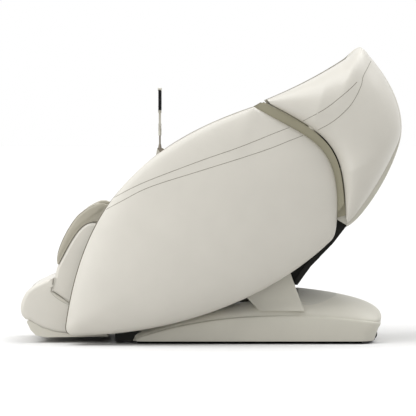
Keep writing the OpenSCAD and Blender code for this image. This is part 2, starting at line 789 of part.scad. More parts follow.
// Lining that closes the rear of the side shell and shows as a band up to the shoulder shell
module side_liner(side) {
    top = beside(whole_curve(shell_edge_top, 6, arm_to + 0.01, 0.995), 3);
    flap_end = beside(whole_curve(shell_edge_top, 12, arm_from, arm_to), 3 + arm_flap)[12];
    band = beside(whole_curve(band_edge, 18, 0, 0.9), band_gap);
    heel = beside(whole_curve([shell_heel, shell_heel - [265, 257], shell_sole + [385, -2], shell_sole], 6, 0, 0.42), 3);
    color(olive) on_side(side) {
        across(liner_x, rim_x) polygon(concat(
            top, band, [shell_rear + [-8, 4], shell_heel + [-4, 16]], heel,
            [recline_pivot + [-50, -60], recline_pivot + [-60, 40], [ledge_rear[0] + 4, 600], ledge_rear + [4, 0],
                [flap_end[0] + 4, flap_end[1]]]
        ));
        bar(recline_pivot, boss_r, frame_in + plate + seat_gap, liner_x + 1);
    }
}

module side_liner_left() { side_liner(1); }

module side_liner_right() { side_liner(-1); }

arm_from = 0.46;
arm_to = 0.9;
ledge_front = [-345, 588];
ledge_rear = [95, 690];
panel_x = seat_half + 4;

// Inner side of the arm: a panel beside the cushion, a rim round the front, a shelf for the forearm
module arm_panel(side) {
    front = whole_curve(shell_edge_top, 9, 0, arm_from);
    nose = curve([shell_sole, shell_sole - [30, 0], shell_front - [4, 31], shell_front], 4);
    keel = curve([shell_heel, shell_heel - [265, 257], shell_sole + [385, -2], shell_sole], 6, 0.45, 1);
    line = concat(keel, nose, front);
    under = [ledge_front - [0, arm_ledge + seat_gap], ledge_rear - [0, arm_ledge + seat_gap]];
    color(white) on_side(side) {
        across(seat_half, rim_x) polygon(concat(beside(line, 2), backward(beside(line, 14))));
        difference() {
            across(seat_half, panel_x) polygon(concat(
                beside(line, 7), [ledge_front + [-14, 20], under[0] - [10, 0], under[0], under[1], [120, 600],
                    recline_pivot + [34, 40], recline_pivot + [34, -36], [132, 352], [96, 270]]
            ));
            bar(recline_pivot, boss_r + 1, seat_half - 1, panel_x + 1);
        }
        across(seat_half, rim_x) polygon([under[0] - [0, 5], under[0], under[1], under[1] - [0, 5]]);
        for (p = [knee_drop, seat_link + [-46, 10]]) bar(p, 12, frame_in + plate + seat_gap, seat_half + 1);
    }
}

module arm_panel_left() { arm_panel(1); }

module arm_panel_right() { arm_panel(-1); }

// Upholstered arm: a forearm ledge, an outer wall and a padded flap over the hand channel
module arm_cushion(side) {
    line = whole_curve(shell_edge_top, 12, arm_from + 0.004, arm_to);
    top = beside(line, 3);
    flap = beside(line, 3 + arm_flap);
    color(taupe) on_side(side) {
        across(seat_half + 4, rim_x) polygon(concat(top, backward(flap)));
        across(rim_x - 18, rim_x) polygon(concat(flap, [ledge_rear - [0, 10], ledge_front - [0, 10]]));
        across(seat_half - 4, rim_x) polygon([
            ledge_front - [0, arm_ledge], ledge_front - [8, 8], ledge_front + [10, 2], ledge_rear, ledge_rear - [0, arm_ledge]
        ]);
    }
}

module arm_cushion_left() { arm_cushion(1); }

module arm_cushion_right() { arm_cushion(-1); }

// Curved black pan that closes the seat below the back
module lower_cover() {
    outer = concat(
        whole_curve([[332, 306], [344, 262], [352, 246], [366, 252]], 4),
        whole_curve([[374, 270], [420, 330], [470, 390], [512, 440]], 4)
    );
    half = frame_in - 26;
    color(black) {
        across(-half, half) polygon(concat(outer, backward(beside(outer, -cover_wall))));
        both_sides() across(half - cover_wall, half)
            polygon(concat(outer, [[500, 452], recline_pivot + [190, -70], [350, 330]]));
        both_sides() across(half - 2, frame_in - seat_gap)
            polygon([[296, 270], [296, 296], [338, 316], [340, 290]]);
    }
}

// Apron under the front of the seat, with a slot for the leg rest actuator
module front_cover() {
    face = whole_curve([[-350, 440], [-364, 330], [-350, 220], [-290, 140]], 7);
    color(black) difference() {
        across(seat_gap - frame_in, frame_in - seat_gap)
            polygon(concat(face, backward(beside(face, -cover_wall))));
        translate([-ram_x - 40, -420, 330]) cube([80, 120, 100]);
    }
}

// ---- tablet on its post ----

post_foot = [for (p = beside(whole_curve(shell_edge_top, 30, 0.5, 0.8), 3 - seat_gap)) if (abs(p[0] - post_y) < 24) p];
post_top = knob_z - 26;
foot_top = post_foot[len(post_foot) - 1][1] + 6;

// Saddle foot on the right arm with a thin pole
module tablet_post() {
    color(cream) {
        across(-post_x - 12, 12 - post_x)
            polygon(concat(post_foot, [[post_y + 12, foot_top], [post_y - 12, foot_top]]));
        translate([-post_x, post_y, foot_top - 8]) cylinder(r = 4, h = post_top - foot_top + 8);
        translate([-post_x, post_y, foot_top - 8]) cylinder(r1 = 10, r2 = 5, h = 26);
    }
}

// Swivel sleeve with a fork for the tilt knob
module tablet_bracket() {
    color(white) {
        difference() {
            translate([-post_x, post_y, post_top - 20]) cylinder(r = 7, h = 34);
            translate([-post_x, post_y, post_top - 21]) cylinder(r = 4 + pin_clearance, h = 21.5);
        }
        difference() {
            union() {
                translate([-post_x - 14, post_y - 6, post_top + 8]) cube([28, 12, 8]);
                for (x = [-14, 9]) translate([x - post_x, post_y - 6, post_top + 8]) cube([5, 12, 20]);
                for (x = [-14, 9]) bar([post_y, knob_z + 2], 6, x - post_x, x + 5 - post_x);
            }
            bar([post_y, knob_z + 2], 4 + pin_clearance, -post_x - 15, 15 - post_x);
        }
    }
}

// Touch screen in a cradle whose neck turns in the fork
module tablet() {
    low = knob_z + 66;
    color(white) {
        bar([post_y, knob_z + 2], 4, -post_x - 18, 18 - post_x);
        both_knobs();
        translate([-post_x - 8, post_y - 5, knob_z - 3]) cube([16, 10, low - knob_z - 2]);
        translate([-post_x - 34, post_y - 7, low - 12]) cube([68, 14, 14]);
    }
    color(black) translate([-post_x - tablet_w / 2, post_y + tablet_t / 2, low])
        rotate([90, 0, 0]) linear_extrude(tablet_t) rounded(tablet_w, tablet_h, 8);
}

module both_knobs() {
    for (x = [-22, 16]) bar([post_y, knob_z + 2], 7, x - post_x, x + 6 - post_x);
}

module rounded(w, h, r) {
    translate([r, 0]) square([w - 2 * r, h]);
    translate([0, r]) square([w, h - 2 * r]);
    for (x = [r, w - r], y = [r, h - r]) translate([x, y]) circle(r = r);
}

// ---- back ----

arm_out = frame_in - swing_gap;
arm_in = arm_out - plate;
carrier_y = -back_pad / 2 + 2.8;
pad_front = carrier_y - seat_gap - back_pad;
rail_y = 70;
frame_top = carriage_low + carriage_travel + 80;
cross_y = [112, 128];

// Side arms with the recline pivot, two carriage rails, cross plates and cushion carriers
module back_frame() {
    color(black) {
        in_back() {
            both_sides() {
                difference() {
                    across(arm_in, arm_out) polygon([
                        [carrier_y, 26], [carrier_y, frame_top], [66, frame_top], [72, 640], [cross_y[1], 600],
                        [cross_y[1], 330], [224, 266], [258, 250], [252, 178], [150, 90], [90, 40], [44, -14],
                        [20, -34], [-16, -32], [-34, -8]
                    ]);
                    bar([0, 0], pin_r + pin_clearance, arm_in - 1, arm_out + 1);
                    for (z = [120:110:560]) bar([82, z], 26, arm_in - 1, arm_out + 1);
                }
                translate([rail_half - rail_side / 2, rail_y - rail_side / 2, 38]) difference() {
                    cube([rail_side, rail_side, frame_top - 42]);
                    translate([tube_wall, tube_wall, -1])
                        cube([rail_side - 2 * tube_wall, rail_side - 2 * tube_wall, frame_top]);
                }
                translate([arm_in - 40, carrier_y, 30]) cube([42, 4, frame_top - 30]);
            }
            for (z = [34, frame_top - 6]) difference() {
                translate([-arm_in - 1, 57, z]) cube([2 * arm_in + 2, 45, 6]);
                bar_z([0, rail_y], 8, z - 1, z + 7);
            }
            translate([-arm_in - 1, cross_y[0], 430]) cube([2 * arm_in + 2, cross_y[1] - cross_y[0], 50]);
            difference() {
                bar([0, 0], 26, -arm_in - 1, arm_in + 1);
                bar([0, 0], 19, -arm_in - 2, arm_in + 2);
            }
        }
        for (x = [-lug_half - 5, lug_half]) difference() {
            across(ram_x + x, ram_x + x + 5) polygon([
                recline_pivot + [-22, -8], recline_pivot + [22, -8], recline_pin + [12, -10], recline_pin + [-12, -10]
            ]);
            bar(recline_pivot, 19, ram_x + x - 1, ram_x + x + 6);
        }
        bar(recline_pin, ram_pin_r, ram_x - lug_half - 5, ram_x + lug_half + 5);
    }
}

// Round bar or bore along Z through an [x, y] point
module bar_z(at, r, z0, z1) {
    translate([at[0], at[1], z0]) cylinder(r = r, h = z1 - z0);
}

module shoulder_shell(side) {
    color(white) on_side(side)
        sheet_solid(shoulder_rows(0, crown_x, 0.03), shoulder_rows(shell_wall, crown_x - shell_wall, 0.036));
}

module shoulder_shell_left() { shoulder_shell(1); }

module shoulder_shell_right() { shoulder_shell(-1); }

cover_edge_gap = 3;

// Stations of the rear cover: the rear edge curves, then a short roll over the top
cover_low = [with_x(shoulder_tip + [4, -4], tip_x), with_x(shoulder_tip + [62, 18], tip_x),
    with_x(shoulder_rear - [22, 150], rear_half), with_x(shoulder_rear + [2, 0], rear_half)];
cover_high = [for (p = rear_high) p + [p[0] == hood_top[0] ? 0 : 2, 0, 0]];
cover_roll = [with_x(hood_top, hood_half), with_x(hood_top + [-14, -2], hood_half),
    with_x(hood_top + [-40, -20], hood_half - 4), with_x(hood_top + [-56, -52], hood_half - 8)];

// Points across one station; q is on the rear edge and m points out of the chair
function cover_row(q, m, low, bulge, half) =
    [for (i = [0:10]) let (u = i / 5 - 1, d = bulge * (1 - pow(abs(u), 3)) - low)
        [u * half, q[0] + m[0] * d, q[1] + m[1] * d]];

// Crowned panel between the shoulder shells, from the lower lip over the hood
module rear_cover() {
    line = concat(curve(cover_low, 12), curve(cover_high, 12), whole_curve(cover_roll, 5));
    n = len(line);
    sides = [for (i = [0:n - 1]) -right_of(line[min(i + 1, n - 1)], line[max(i - 1, 0)])];
    bulge = [for (i = [0:n - 1]) rear_bulge * (1 - 0.9 * pow(i / (n - 1), 4))];
    outside = [for (i = [0:n - 1]) cover_row(line[i], -sides[i], 0, bulge[i], line[i][2] - cover_edge_gap)];
    inside = [for (i = [0:n - 1]) cover_row(line[i], -sides[i], cover_wall, bulge[i], line[i][2] - cover_edge_gap)];
    rib = [for (i = [8:13]) [line[i][0], line[i][1]] + sides[i] * (cover_wall / 2 - bulge[i] * 0.7)];
    color(cream) {
        sheet_solid(backward(outside), backward(inside));
        both_sides() across(146, 152)
            polygon(concat(rib, [back_point([cross_y[1] + seat_gap, 478]), back_point([cross_y[1] + seat_gap, 432])]));
    }
}

// Closed sheet between two grids of points
module sheet_solid(outside, inside) {
    m = len(outside[0]);
    rings = [for (j = [0:len(outside) - 1]) concat(outside[j], backward(inside[j]))];
    k = len(rings);
    w = 2 * m;
    e = (k - 1) * w;
    ends = [for (i = [0:m - 2]) each [
        [i + 1, i, w - 1 - i], [i + 1, w - 1 - i, w - 2 - i],
        [e + i, e + i + 1, e + w - 2 - i], [e + i, e + w - 2 - i, e + w - 1 - i]
    ]];
    polyhedron([for (r = rings) each r], concat(skin_sides(w, k), ends));
}

lining_crown = edge_x - 17;
lining_wall = 10;
pod_at = [-50, 600];
pod_x = lining_crown - 19;
speaker_at = [-30, 762];
speaker_x = lining_crown - 34;

// Padded inner wall of a shoulder shell, with the seats of the shoulder pad and the speaker
module back_liner(side) {
    d = shell_wall + seat_gap;
    color(olive) on_side(side) {
        sheet_solid(shoulder_rows(d, lining_crown, 0.075),
            shoulder_rows(d + lining_wall, lining_crown - lining_wall, 0.09, lining_wall + 2));
        in_back() {
            bar(pod_at, 30, pod_x, lining_crown - 5);
            bar(speaker_at, 30, speaker_x, lining_crown - 6);
            for (p = [[30, 560], [26, 650]]) bar(p, 12, arm_out + seat_gap, lining_crown - 4);
        }
    }
}

module back_liner_left() { back_liner(1); }

module back_liner_right() { back_liner(-1); }

module back_cushion() {
    y0 = pad_front;
    y1 = carrier_y - seat_gap;
    pad = concat(
        whole_curve([[y0 + 20, 21], [y0, 23], [y0 - 2, 60], [y0, 150]], 4),
        whole_curve([[y0, back_len - 170], [y0, back_len - 40], [y0 + 4, back_len + 4], [y1 - 12, back_len + 6]], 6),
        [[y1, back_len - 4], [y1, 21]]
    );
    color(taupe) in_back() pillow(pad, -back_half, back_half, 14);
}

module shoulder_pad(side) {
    pod = [for (a = [180:-15:-165]) pod_at + [58 * cos(a), 72 * sin(a)]];
    color(taupe) on_side(side) in_back() pillow(pod, arm_out + 26, pod_x - seat_gap, 24);
}

module shoulder_pad_left() { shoulder_pad(1); }

module shoulder_pad_right() { shoulder_pad(-1); }

module head_pillow() {
    y1 = pad_front - seat_gap;
    shape = concat(
        whole_curve([[y1, 640], [y1 - 38, 640], [y1 - 60, 690], [y1 - 44, 740]], 5),
        whole_curve([[y1 - 36, 765], [y1 - 30, 800], [y1 - 30, 835], [y1, 842]], 5)
    );
    color(taupe) in_back() pillow(shape, -140, 140, 11);
}

// Round speaker covers with rings of holes
module speaker_grilles() {
    color(black) both_sides() in_back() difference() {
        bar(speaker_at, 36, speaker_x - 7, speaker_x - seat_gap);
        for (ring = [10, 20, 29], a = [0:360 / (ring * 0.6):359])
            bar(speaker_at + ring * [cos(a), sin(a)], 2.6, speaker_x - 8, speaker_x + 1);
        bar(speaker_at, 3, speaker_x - 8, speaker_x + 1);
    }
}

// ---- massage carriage ----

screw_r = 8;

// Fixed screw that the driven nut of the carriage climbs
module lead_screw() {
    color(steel) in_back() {
        bar_z([0, rail_y], screw_r - pin_clearance, 22, frame_top);
        bar_z([0, rail_y], screw_r + 6, 22, 34 - seat_gap);
    }
}

shaft_y = 58;
roller_y = shaft_y - 36;
shoe_out = rail_half - rail_side / 2 - seat_gap;
rock_r = 8;
rock_in = 70;

// Carriage with shoes on the rails, the drive round the screw and the cross shaft
module carriage() {
    z = carriage_low;
    color([0.45, 0.45, 0.47]) in_back() {
        difference() {
            union() {
                translate([-shoe_out, 88, z - 62]) cube([2 * shoe_out, 8, 124]);
                both_sides() translate([shoe_out - 16, rail_y - 9, z - 60]) cube([16, 28, 120]);
                translate([-26, rail_y - 18, z - 58]) cube([52, 38, 60]);
                translate([-40, 80, z + 6]) cube([80, 30, 50]);
                both_sides() translate([40, shaft_y - 12, z - 14]) cube([8, 46, 28]);
            }
            bar_z([0, rail_y], screw_r + 0.3, z - 70, z + 70);
            bar_z([0, rail_y], screw_r + 6, z + 2, z + 70);
        }
        for (x = [-1, 1]) translate([x * 62, 96, z - 20]) rotate([-90, 0, 0]) cylinder(r = 22, h = 14);
        bar([shaft_y, z], rock_r, -rock_in - 20, -40);
        bar([shaft_y, z], rock_r, 40, rock_in + 20);
    }
}

axle_r = 5;

// Rocking arm with the axles of its two rollers
module massage_arm(side) {
    z = carriage_low;
    ends = [for (s = [-1, 1]) [roller_y, z + s * roller_pitch / 2]];
    color(steel) on_side(side) in_back() {
        difference() {
            across(rock_in, rock_in + plate) {
                for (e = ends) link([shaft_y, z], e, 17, 10);
            }
            bar([shaft_y, z], rock_r + pin_clearance, rock_in - 1, rock_in + plate + 1);
        }
        for (e = ends) bar(e, axle_r, rock_in + 1, rock_in + plate + 36);
    }
}

module massage_arm_left() { massage_arm(1); }

module massage_arm_right() { massage_arm(-1); }

module roller(side, up) {
    color(cream) on_side(side) in_back()
        translate([rock_in + plate + 3, roller_y, carriage_low + up * roller_pitch / 2]) rotate([0, 90, 0])
            difference() {
                rotate_extrude() polygon(concat(
                    [[0, 0]],
                    [for (a = [-60:15:60]) [roller_r - 15 + 15 * cos(a), 15 + 15 * sin(a) * 0.999]],
                    [[0, 30]]
                ));
                translate([0, 0, -1]) cylinder(r = axle_r + pin_clearance, h = 32);
            }
}

module roller_upper_left() { roller(1, 1); }

module roller_lower_left() { roller(1, -1); }

module roller_upper_right() { roller(-1, 1); }

module roller_lower_right() { roller(-1, -1); }

// ---- leg rest, drawn in its own frame: Z runs up the calf, -Y is the padded side ----

calf_end = -360;
calf_top = [-52, -26];
pad_tip = [-80, -277];
// Upper edge of the white shell, under the padding
shell_brim = [pad_tip, pad_tip + [-8, 79], calf_top + [-77, -20], calf_top];
// Outer edge of the padding
pad_brim = [pad_tip, pad_tip + [-67, 24], calf_top + [-137, 99], calf_top + [-12, 101]];
calf_back = 28;
wing_in = leg_half - calf_wing;
divider = wing_in - calf_channel;
leg_arm_in = frame_in - swing_gap - plate;
leg_tube = [45, -95];
guide_x = 105;
guide_z = [-330, -106];

// Arms on the knee pins, a cross tube, the lugs of the actuator and two guide tubes
module legrest_frame() {
    color(black) {
        in_leg() {
            both_sides() {
                difference() {
                    across(leg_arm_in, leg_arm_in + plate) hull() {
                        circle(r = 24);
                        translate(leg_tube) circle(r = 20);
                    }
                    bar([0, 0], pin_r + pin_clearance, leg_arm_in - 1, leg_arm_in + plate + 1);
                }
            }
            difference() {
                bar(leg_tube, tube_r, -leg_arm_in - 1, leg_arm_in + 1);
                bar(leg_tube, tube_r - tube_wall, -leg_arm_in - 2, leg_arm_in + 2);
            }
            difference() {
                union() {
                    both_sides() bar_z([guide_x, leg_tube[0]], 14, guide_z[0], guide_z[1] + 2);
                    translate([-guide_x - 16, calf_back + seat_gap, -230]) cube([2 * guide_x + 32, 42, 6]);
                }
                both_sides() bar_z([guide_x, leg_tube[0]], rod_r + pin_clearance, guide_z[0] - 1, guide_z[1] - 14);
            }
        }
        for (x = [-lug_half - 5, lug_half]) across(x - ram_x, x + 5 - ram_x) polygon([
            knee_pin + [12, -8], knee_pin + [6, 12], knee_pin + [-14, 4],
            leg_point(leg_tube) + [-13, 4], leg_point(leg_tube) + [4, -13]
        ]);
        bar(knee_pin, ram_pin_r, -ram_x - lug_half - 5, lug_half + 5 - ram_x);
    }
}

// White shell of the calf part, open in front for the padding
module calf_shell() {
    side = concat(
        [[calf_back, calf_end], [-38, calf_end], [-64, -318]],
        curve(shell_brim, 10), [calf_top, [-24, -8], [calf_back, -40]]
    );
    color(white) difference() {
        in_leg() pillow(side, -leg_half, leg_half, 14);
        in_leg() translate([12 - leg_half, -300, -400]) cube([2 * leg_half - 24, 300 + calf_back - cover_wall, 500]);
    }
}

// Upholstery of the calf part: two wings, a divider, two beds and the knee roll
module calf_pad() {
    back = calf_back - cover_wall - seat_gap;
    low = calf_end + 2;
    wing_x = leg_half - 12 - seat_gap;
    over = whole_curve(shell_brim, 10, 0.04, 1);
    brim = whole_curve(pad_brim, 12, 0.04, 1);
    color(taupe) in_leg() {
        both_sides() {
            across(wing_in - 1, leg_half) polygon(concat(brim, backward(beside(over, -seat_gap))));
            across(wing_in, wing_x) polygon(concat(
                [[back, low], [-36, low], pad_tip + [7, 4]], beside(over, -seat_gap - 2), [[back, -60]]
            ));
        }
        across(-divider, divider) polygon(concat([[back, low], [-34, low]],
            whole_curve([[-60, -280], [-86, -200], [-86, -100], [-48, -20]], 6), [[back, -60]]));
        across(-wing_x, wing_x) polygon([[back, low], [back - calf_bed, low], [back - calf_bed, -60], [back, -60]]);
        across(-wing_x, wing_x) polygon(concat(
            [[back - 2, -70], [-34, -70]], [for (a = [215:-14:61]) polar([0, 0], 50, a)]
        ));
    }
}

// ---- foot unit ----

foot_low = [-57, -536];
foot_lip = [-74, -310];
foot_heel = [226, -380];
toe = [foot_low, foot_low + [-70, -2], foot_lip + [-80, -88], foot_lip];
// Edge between the shell and the sole
foot_keel = [[200, -408], [160, -446], [90, -532], foot_low + [12, 6]];

function foot_outline() = concat(
    curve(toe, 9),
    [foot_lip, [-44, calf_end - 6], [70, calf_end - 6], [190, calf_end - 6], foot_heel],
    whole_curve(foot_keel, 6)
);

// White shell of the foot unit with two wells, on rods that slide in the leg rest
module foot_shell() {
    color(white) {
        difference() {
            in_leg() pillow(foot_outline(), -leg_half - 4, leg_half + 4, 16);
            in_leg() both_sides() foot_well(0);
            in_leg() both_sides() across(3, leg_half - 4) polygon([
                [38, -376], [174, -376], [192, -388], [180, -408], [150, -480], [100, -534], [38, -550]
            ]);
            in_leg() both_sides() bar(roller_at, foot_roller_r + 2, well_in + 6, well_out - 6);
            in_leg() bar(roller_at, 5 + pin_clearance, -well_out - 11, well_out + 11);
        }
        in_leg() both_sides() {
            bar_z([guide_x, leg_tube[0]], rod_r, calf_end - 60, guide_z[1] - 40);
            bar_z([guide_x, leg_tube[0]], rod_r + 6, calf_end - 62, calf_end - 16);
        }
    }
}

well_in = 22;
well_out = leg_half - 40;

// Space for one foot, larger by grow, open toward the calf
module foot_well(grow) {
    across(well_in - grow, well_out + grow) polygon(concat(
        whole_curve([[-46 - grow, -300], [-110 - grow, -350], [-96 - grow, -470 - grow], [-46, -486 - grow]], 6),
        [[14, -478 - grow], [28 + grow, -452], [28 + grow, -430], [8, calf_end + 60]]
    ));
}

// Lining of the foot wells
module foot_pad() {
    color(taupe) in_leg() both_sides() difference() {
        foot_well(-seat_gap);
        foot_well(-14);
        translate([0, -120, calf_end - 30]) cube([leg_half, 200, 200]);
        bar(roller_at, foot_roller_r + 3, well_in - 5, well_out + 5);
    }
}

// Darker sole under the foot unit, hollow toward it
module sole_cover() {
    seam = backward(whole_curve(foot_keel, 6));
    under = [foot_low + [8, -6], [-14, -561], [16, -566], [55, -549], foot_heel + [44, -8], foot_heel + [16, -4]];
    lower = beside(under, -cover_wall);
    color(cream) in_leg() difference() {
        across(-leg_half + 2, leg_half - 2) polygon(concat(seam, [[226, -402]], backward(under)));
        across(-leg_half + 8, leg_half - 8) polygon(concat(
            [for (i = [1:5]) seam[i] + [0, 12]],
            [0.3 * lower[3] + 0.7 * lower[4], lower[3], lower[2], lower[1]]
        ));
    }
}

roller_at = [-10, -492];

// Shaft with two ribbed rollers under each foot
module foot_roller() {
    color(black) in_leg() {
        bar(roller_at, 5, -well_out - 10, well_out + 10);
        both_sides() for (x = [well_in + 14, (well_in + well_out) / 2 + 6])
            translate([x, roller_at[0], roller_at[1]]) rotate([0, 90, 0]) rotate_extrude() polygon(concat(
                [[0, 0]], [for (i = [0:9]) [foot_roller_r - (i % 2) * 4, i * 5.4]], [[0, 9 * 5.4]]
            ));
    }
}

base_frame();
base_cover();
pivot_covers();
floor_skids();
wheel_left();
wheel_right();
wheel_axle();
power_inlet();
power_switch();
tilt_shaft();
power_supply();
air_pump();
tilt_actuator();
tilt_rod();
seat_frame();
seat_pan();
seat_cushion();
side_shell_left();
side_shell_right();
side_liner_left();
side_liner_right();
arm_panel_left();
arm_panel_right();
arm_cushion_left();
arm_cushion_right();
lower_cover();
front_cover();
recline_actuator();
recline_rod();
legrest_actuator();
legrest_rod();
tablet_post();
tablet_bracket();
tablet();
back_frame();
shoulder_shell_left();
shoulder_shell_right();
rear_cover();
back_liner_left();
back_liner_right();
back_cushion();
shoulder_pad_left();
shoulder_pad_right();
head_pillow();
speaker_grilles();
lead_screw();
carriage();
massage_arm_left();
massage_arm_right();
roller_upper_left();
roller_lower_left();
roller_upper_right();
roller_lower_right();
legrest_frame();
calf_shell();
calf_pad();
foot_shell();
foot_pad();
sole_cover();
foot_roller();
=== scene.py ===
import json
import math
import bpy
import bmesh
from mathutils import Matrix, Vector
from mathutils.bvhtree import BVHTree


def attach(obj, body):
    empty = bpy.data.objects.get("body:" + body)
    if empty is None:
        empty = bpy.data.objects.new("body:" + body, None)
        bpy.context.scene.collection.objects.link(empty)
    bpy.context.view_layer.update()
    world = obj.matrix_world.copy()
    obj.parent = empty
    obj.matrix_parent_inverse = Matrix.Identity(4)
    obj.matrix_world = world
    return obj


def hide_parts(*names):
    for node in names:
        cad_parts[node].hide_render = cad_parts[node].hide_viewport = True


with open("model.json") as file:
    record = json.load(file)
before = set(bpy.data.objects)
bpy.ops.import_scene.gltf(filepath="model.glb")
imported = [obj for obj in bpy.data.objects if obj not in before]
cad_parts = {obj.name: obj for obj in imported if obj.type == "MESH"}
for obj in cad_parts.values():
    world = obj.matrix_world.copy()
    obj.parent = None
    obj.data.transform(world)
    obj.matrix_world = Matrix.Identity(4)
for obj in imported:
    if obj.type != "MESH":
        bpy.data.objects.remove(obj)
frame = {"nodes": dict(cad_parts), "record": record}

scene = bpy.context.scene
nodes = frame["nodes"]
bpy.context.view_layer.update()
print("frame loaded:", len(nodes), "nodes")

# studio: camera, lamps, floor and backdrop
studio = {
    "cameraDistance": 12,  # metres from the plane of the near shell
    "cameraElevation": 2.0,
    "planeX": 0.33,  # plane whose scale fills the frame
    "frameWidth": 1.747,  # metres across the frame in that plane
    "middleY": -0.0126,
    "middleZ": 0.5775,
    "pixels": 416,
    "worldStrength": 0.49,
    "worldColor": (1.0, 0.995, 0.985, 1),
    "suns": {  # strength, softness in degrees, where the light comes from
        "keySun": (1.7, 50, (0.2, -0.5, 0.84)),
        "rearSun": (1.9, 60, (-0.18, 0.40, 0.9)),
    },
    "fillPower": 10,
    "fillSize": 1.6,
    "fillPlace": (1.6, -1.75, 0.6),
    "fillAim": (0.2, -0.5, 0.35),
    "floorReach": 60,
    "floorColor": (0.62, 0.615, 0.6, 1),
    "floorSeen": (0.74, 0.74, 0.74, 1),
}


def placed(name, data):  # a new object in the scene
    item = bpy.data.objects.new(name, data)
    scene.collection.objects.link(item)
    return item


def makeCamera():
    data = bpy.data.cameras.new("studioCamera")
    data.sensor_width = 36
    data.lens = data.sensor_width * studio["cameraDistance"] / studio["frameWidth"]
    data.clip_end = 100
    lift = math.radians(studio["cameraElevation"])
    away = Vector((math.cos(lift), 0, math.sin(lift)))
    camera = scene.camera = placed("studioCamera", data)
    aim = Vector((studio["planeX"], studio["middleY"], studio["middleZ"]))
    camera.location = aim + away * studio["cameraDistance"]
    camera.rotation_euler = (-away).to_track_quat("-Z", "Y").to_euler()


def makeSuns():
    for name, (strength, softness, origin) in studio["suns"].items():
        data = bpy.data.lights.new(name, "SUN")
        data.energy = strength
        data.angle = math.radians(softness)
        placed(name, data).rotation_euler = Vector(origin).to_track_quat("Z", "Y").to_euler()


def makeFill():  # soft lamp near the foot end
    data = bpy.data.lights.new("frontFill", "AREA")
    data.energy = studio["fillPower"]
    data.shape = "DISK"
    data.size = studio["fillSize"]
    lamp = placed("frontFill", data)
    lamp.location = studio["fillPlace"]
    ahead = Vector(studio["fillAim"]) - lamp.location
    lamp.rotation_euler = ahead.to_track_quat("-Z", "Y").to_euler()


def feed(tree, node, values):  # each input gets a link or a constant
    for key, value in values.items():
        if isinstance(value, bpy.types.NodeSocket):
            tree.links.new(value, node.inputs[key])
        else:
            node.inputs[key].default_value = value


def addNode(tree, kind, values):
    node = tree.nodes.new("ShaderNode" + kind)
    feed(tree, node, values)
    return node


def clearedTree(owner):
    owner.use_nodes = True
    owner.node_tree.nodes.clear()
    return owner.node_tree


def seenShare(tree):  # 1 where the camera, glass or metal looks straight at it, else 0
    path = addNode(tree, "LightPath", {})
    share = path.outputs["Is Camera Ray"]
    for ray in ("Is Transmission Ray", "Is Glossy Ray"):
        either = addNode(tree, "Math", {0: share, 1: path.outputs[ray]})
        either.operation = "MAXIMUM"
        share = either.outputs[0]
    return share


def makeWorld():
    world = scene.world = bpy.data.worlds.new("studioWorld")
    tree = clearedTree(world)
    look = {"Color": studio["worldColor"], "Strength": studio["worldStrength"]}
    light = addNode(tree, "Background", look).outputs[0]
    seen = addNode(tree, "Background", {"Color": (1, 1, 1, 1), "Strength": 1}).outputs[0]
    either = addNode(tree, "MixShader", {"Fac": seenShare(tree), 1: light, 2: seen})
    addNode(tree, "OutputWorld", {"Surface": either.outputs[0]})


def makeFloor():
    mesh = bpy.data.meshes.new("studioFloor")
    r = studio["floorReach"]
    mesh.from_pydata([(-r, -r, 0), (r, -r, 0), (r, r, 0), (-r, r, 0)], [], [(0, 1, 2, 3)])
    material = bpy.data.materials.new("floorPaper")
    tree = clearedTree(material)
    shade = addNode(tree, "Mix", {})
    shade.data_type = "RGBA"
    feed(tree, shade, {"A": studio["floorColor"], "B": studio["floorSeen"], "Factor": seenShare(tree)})
    paper = addNode(tree, "BsdfDiffuse", {"Color": shade.outputs["Result"]})
    addNode(tree, "OutputMaterial", {"Surface": paper.outputs[0]})
    mesh.materials.append(material)
    placed("studioFloor", mesh)


makeCamera()
makeWorld()
makeFloor()
makeSuns()
makeFill()
scene.view_settings.view_transform = "Standard"
print("studio ready")

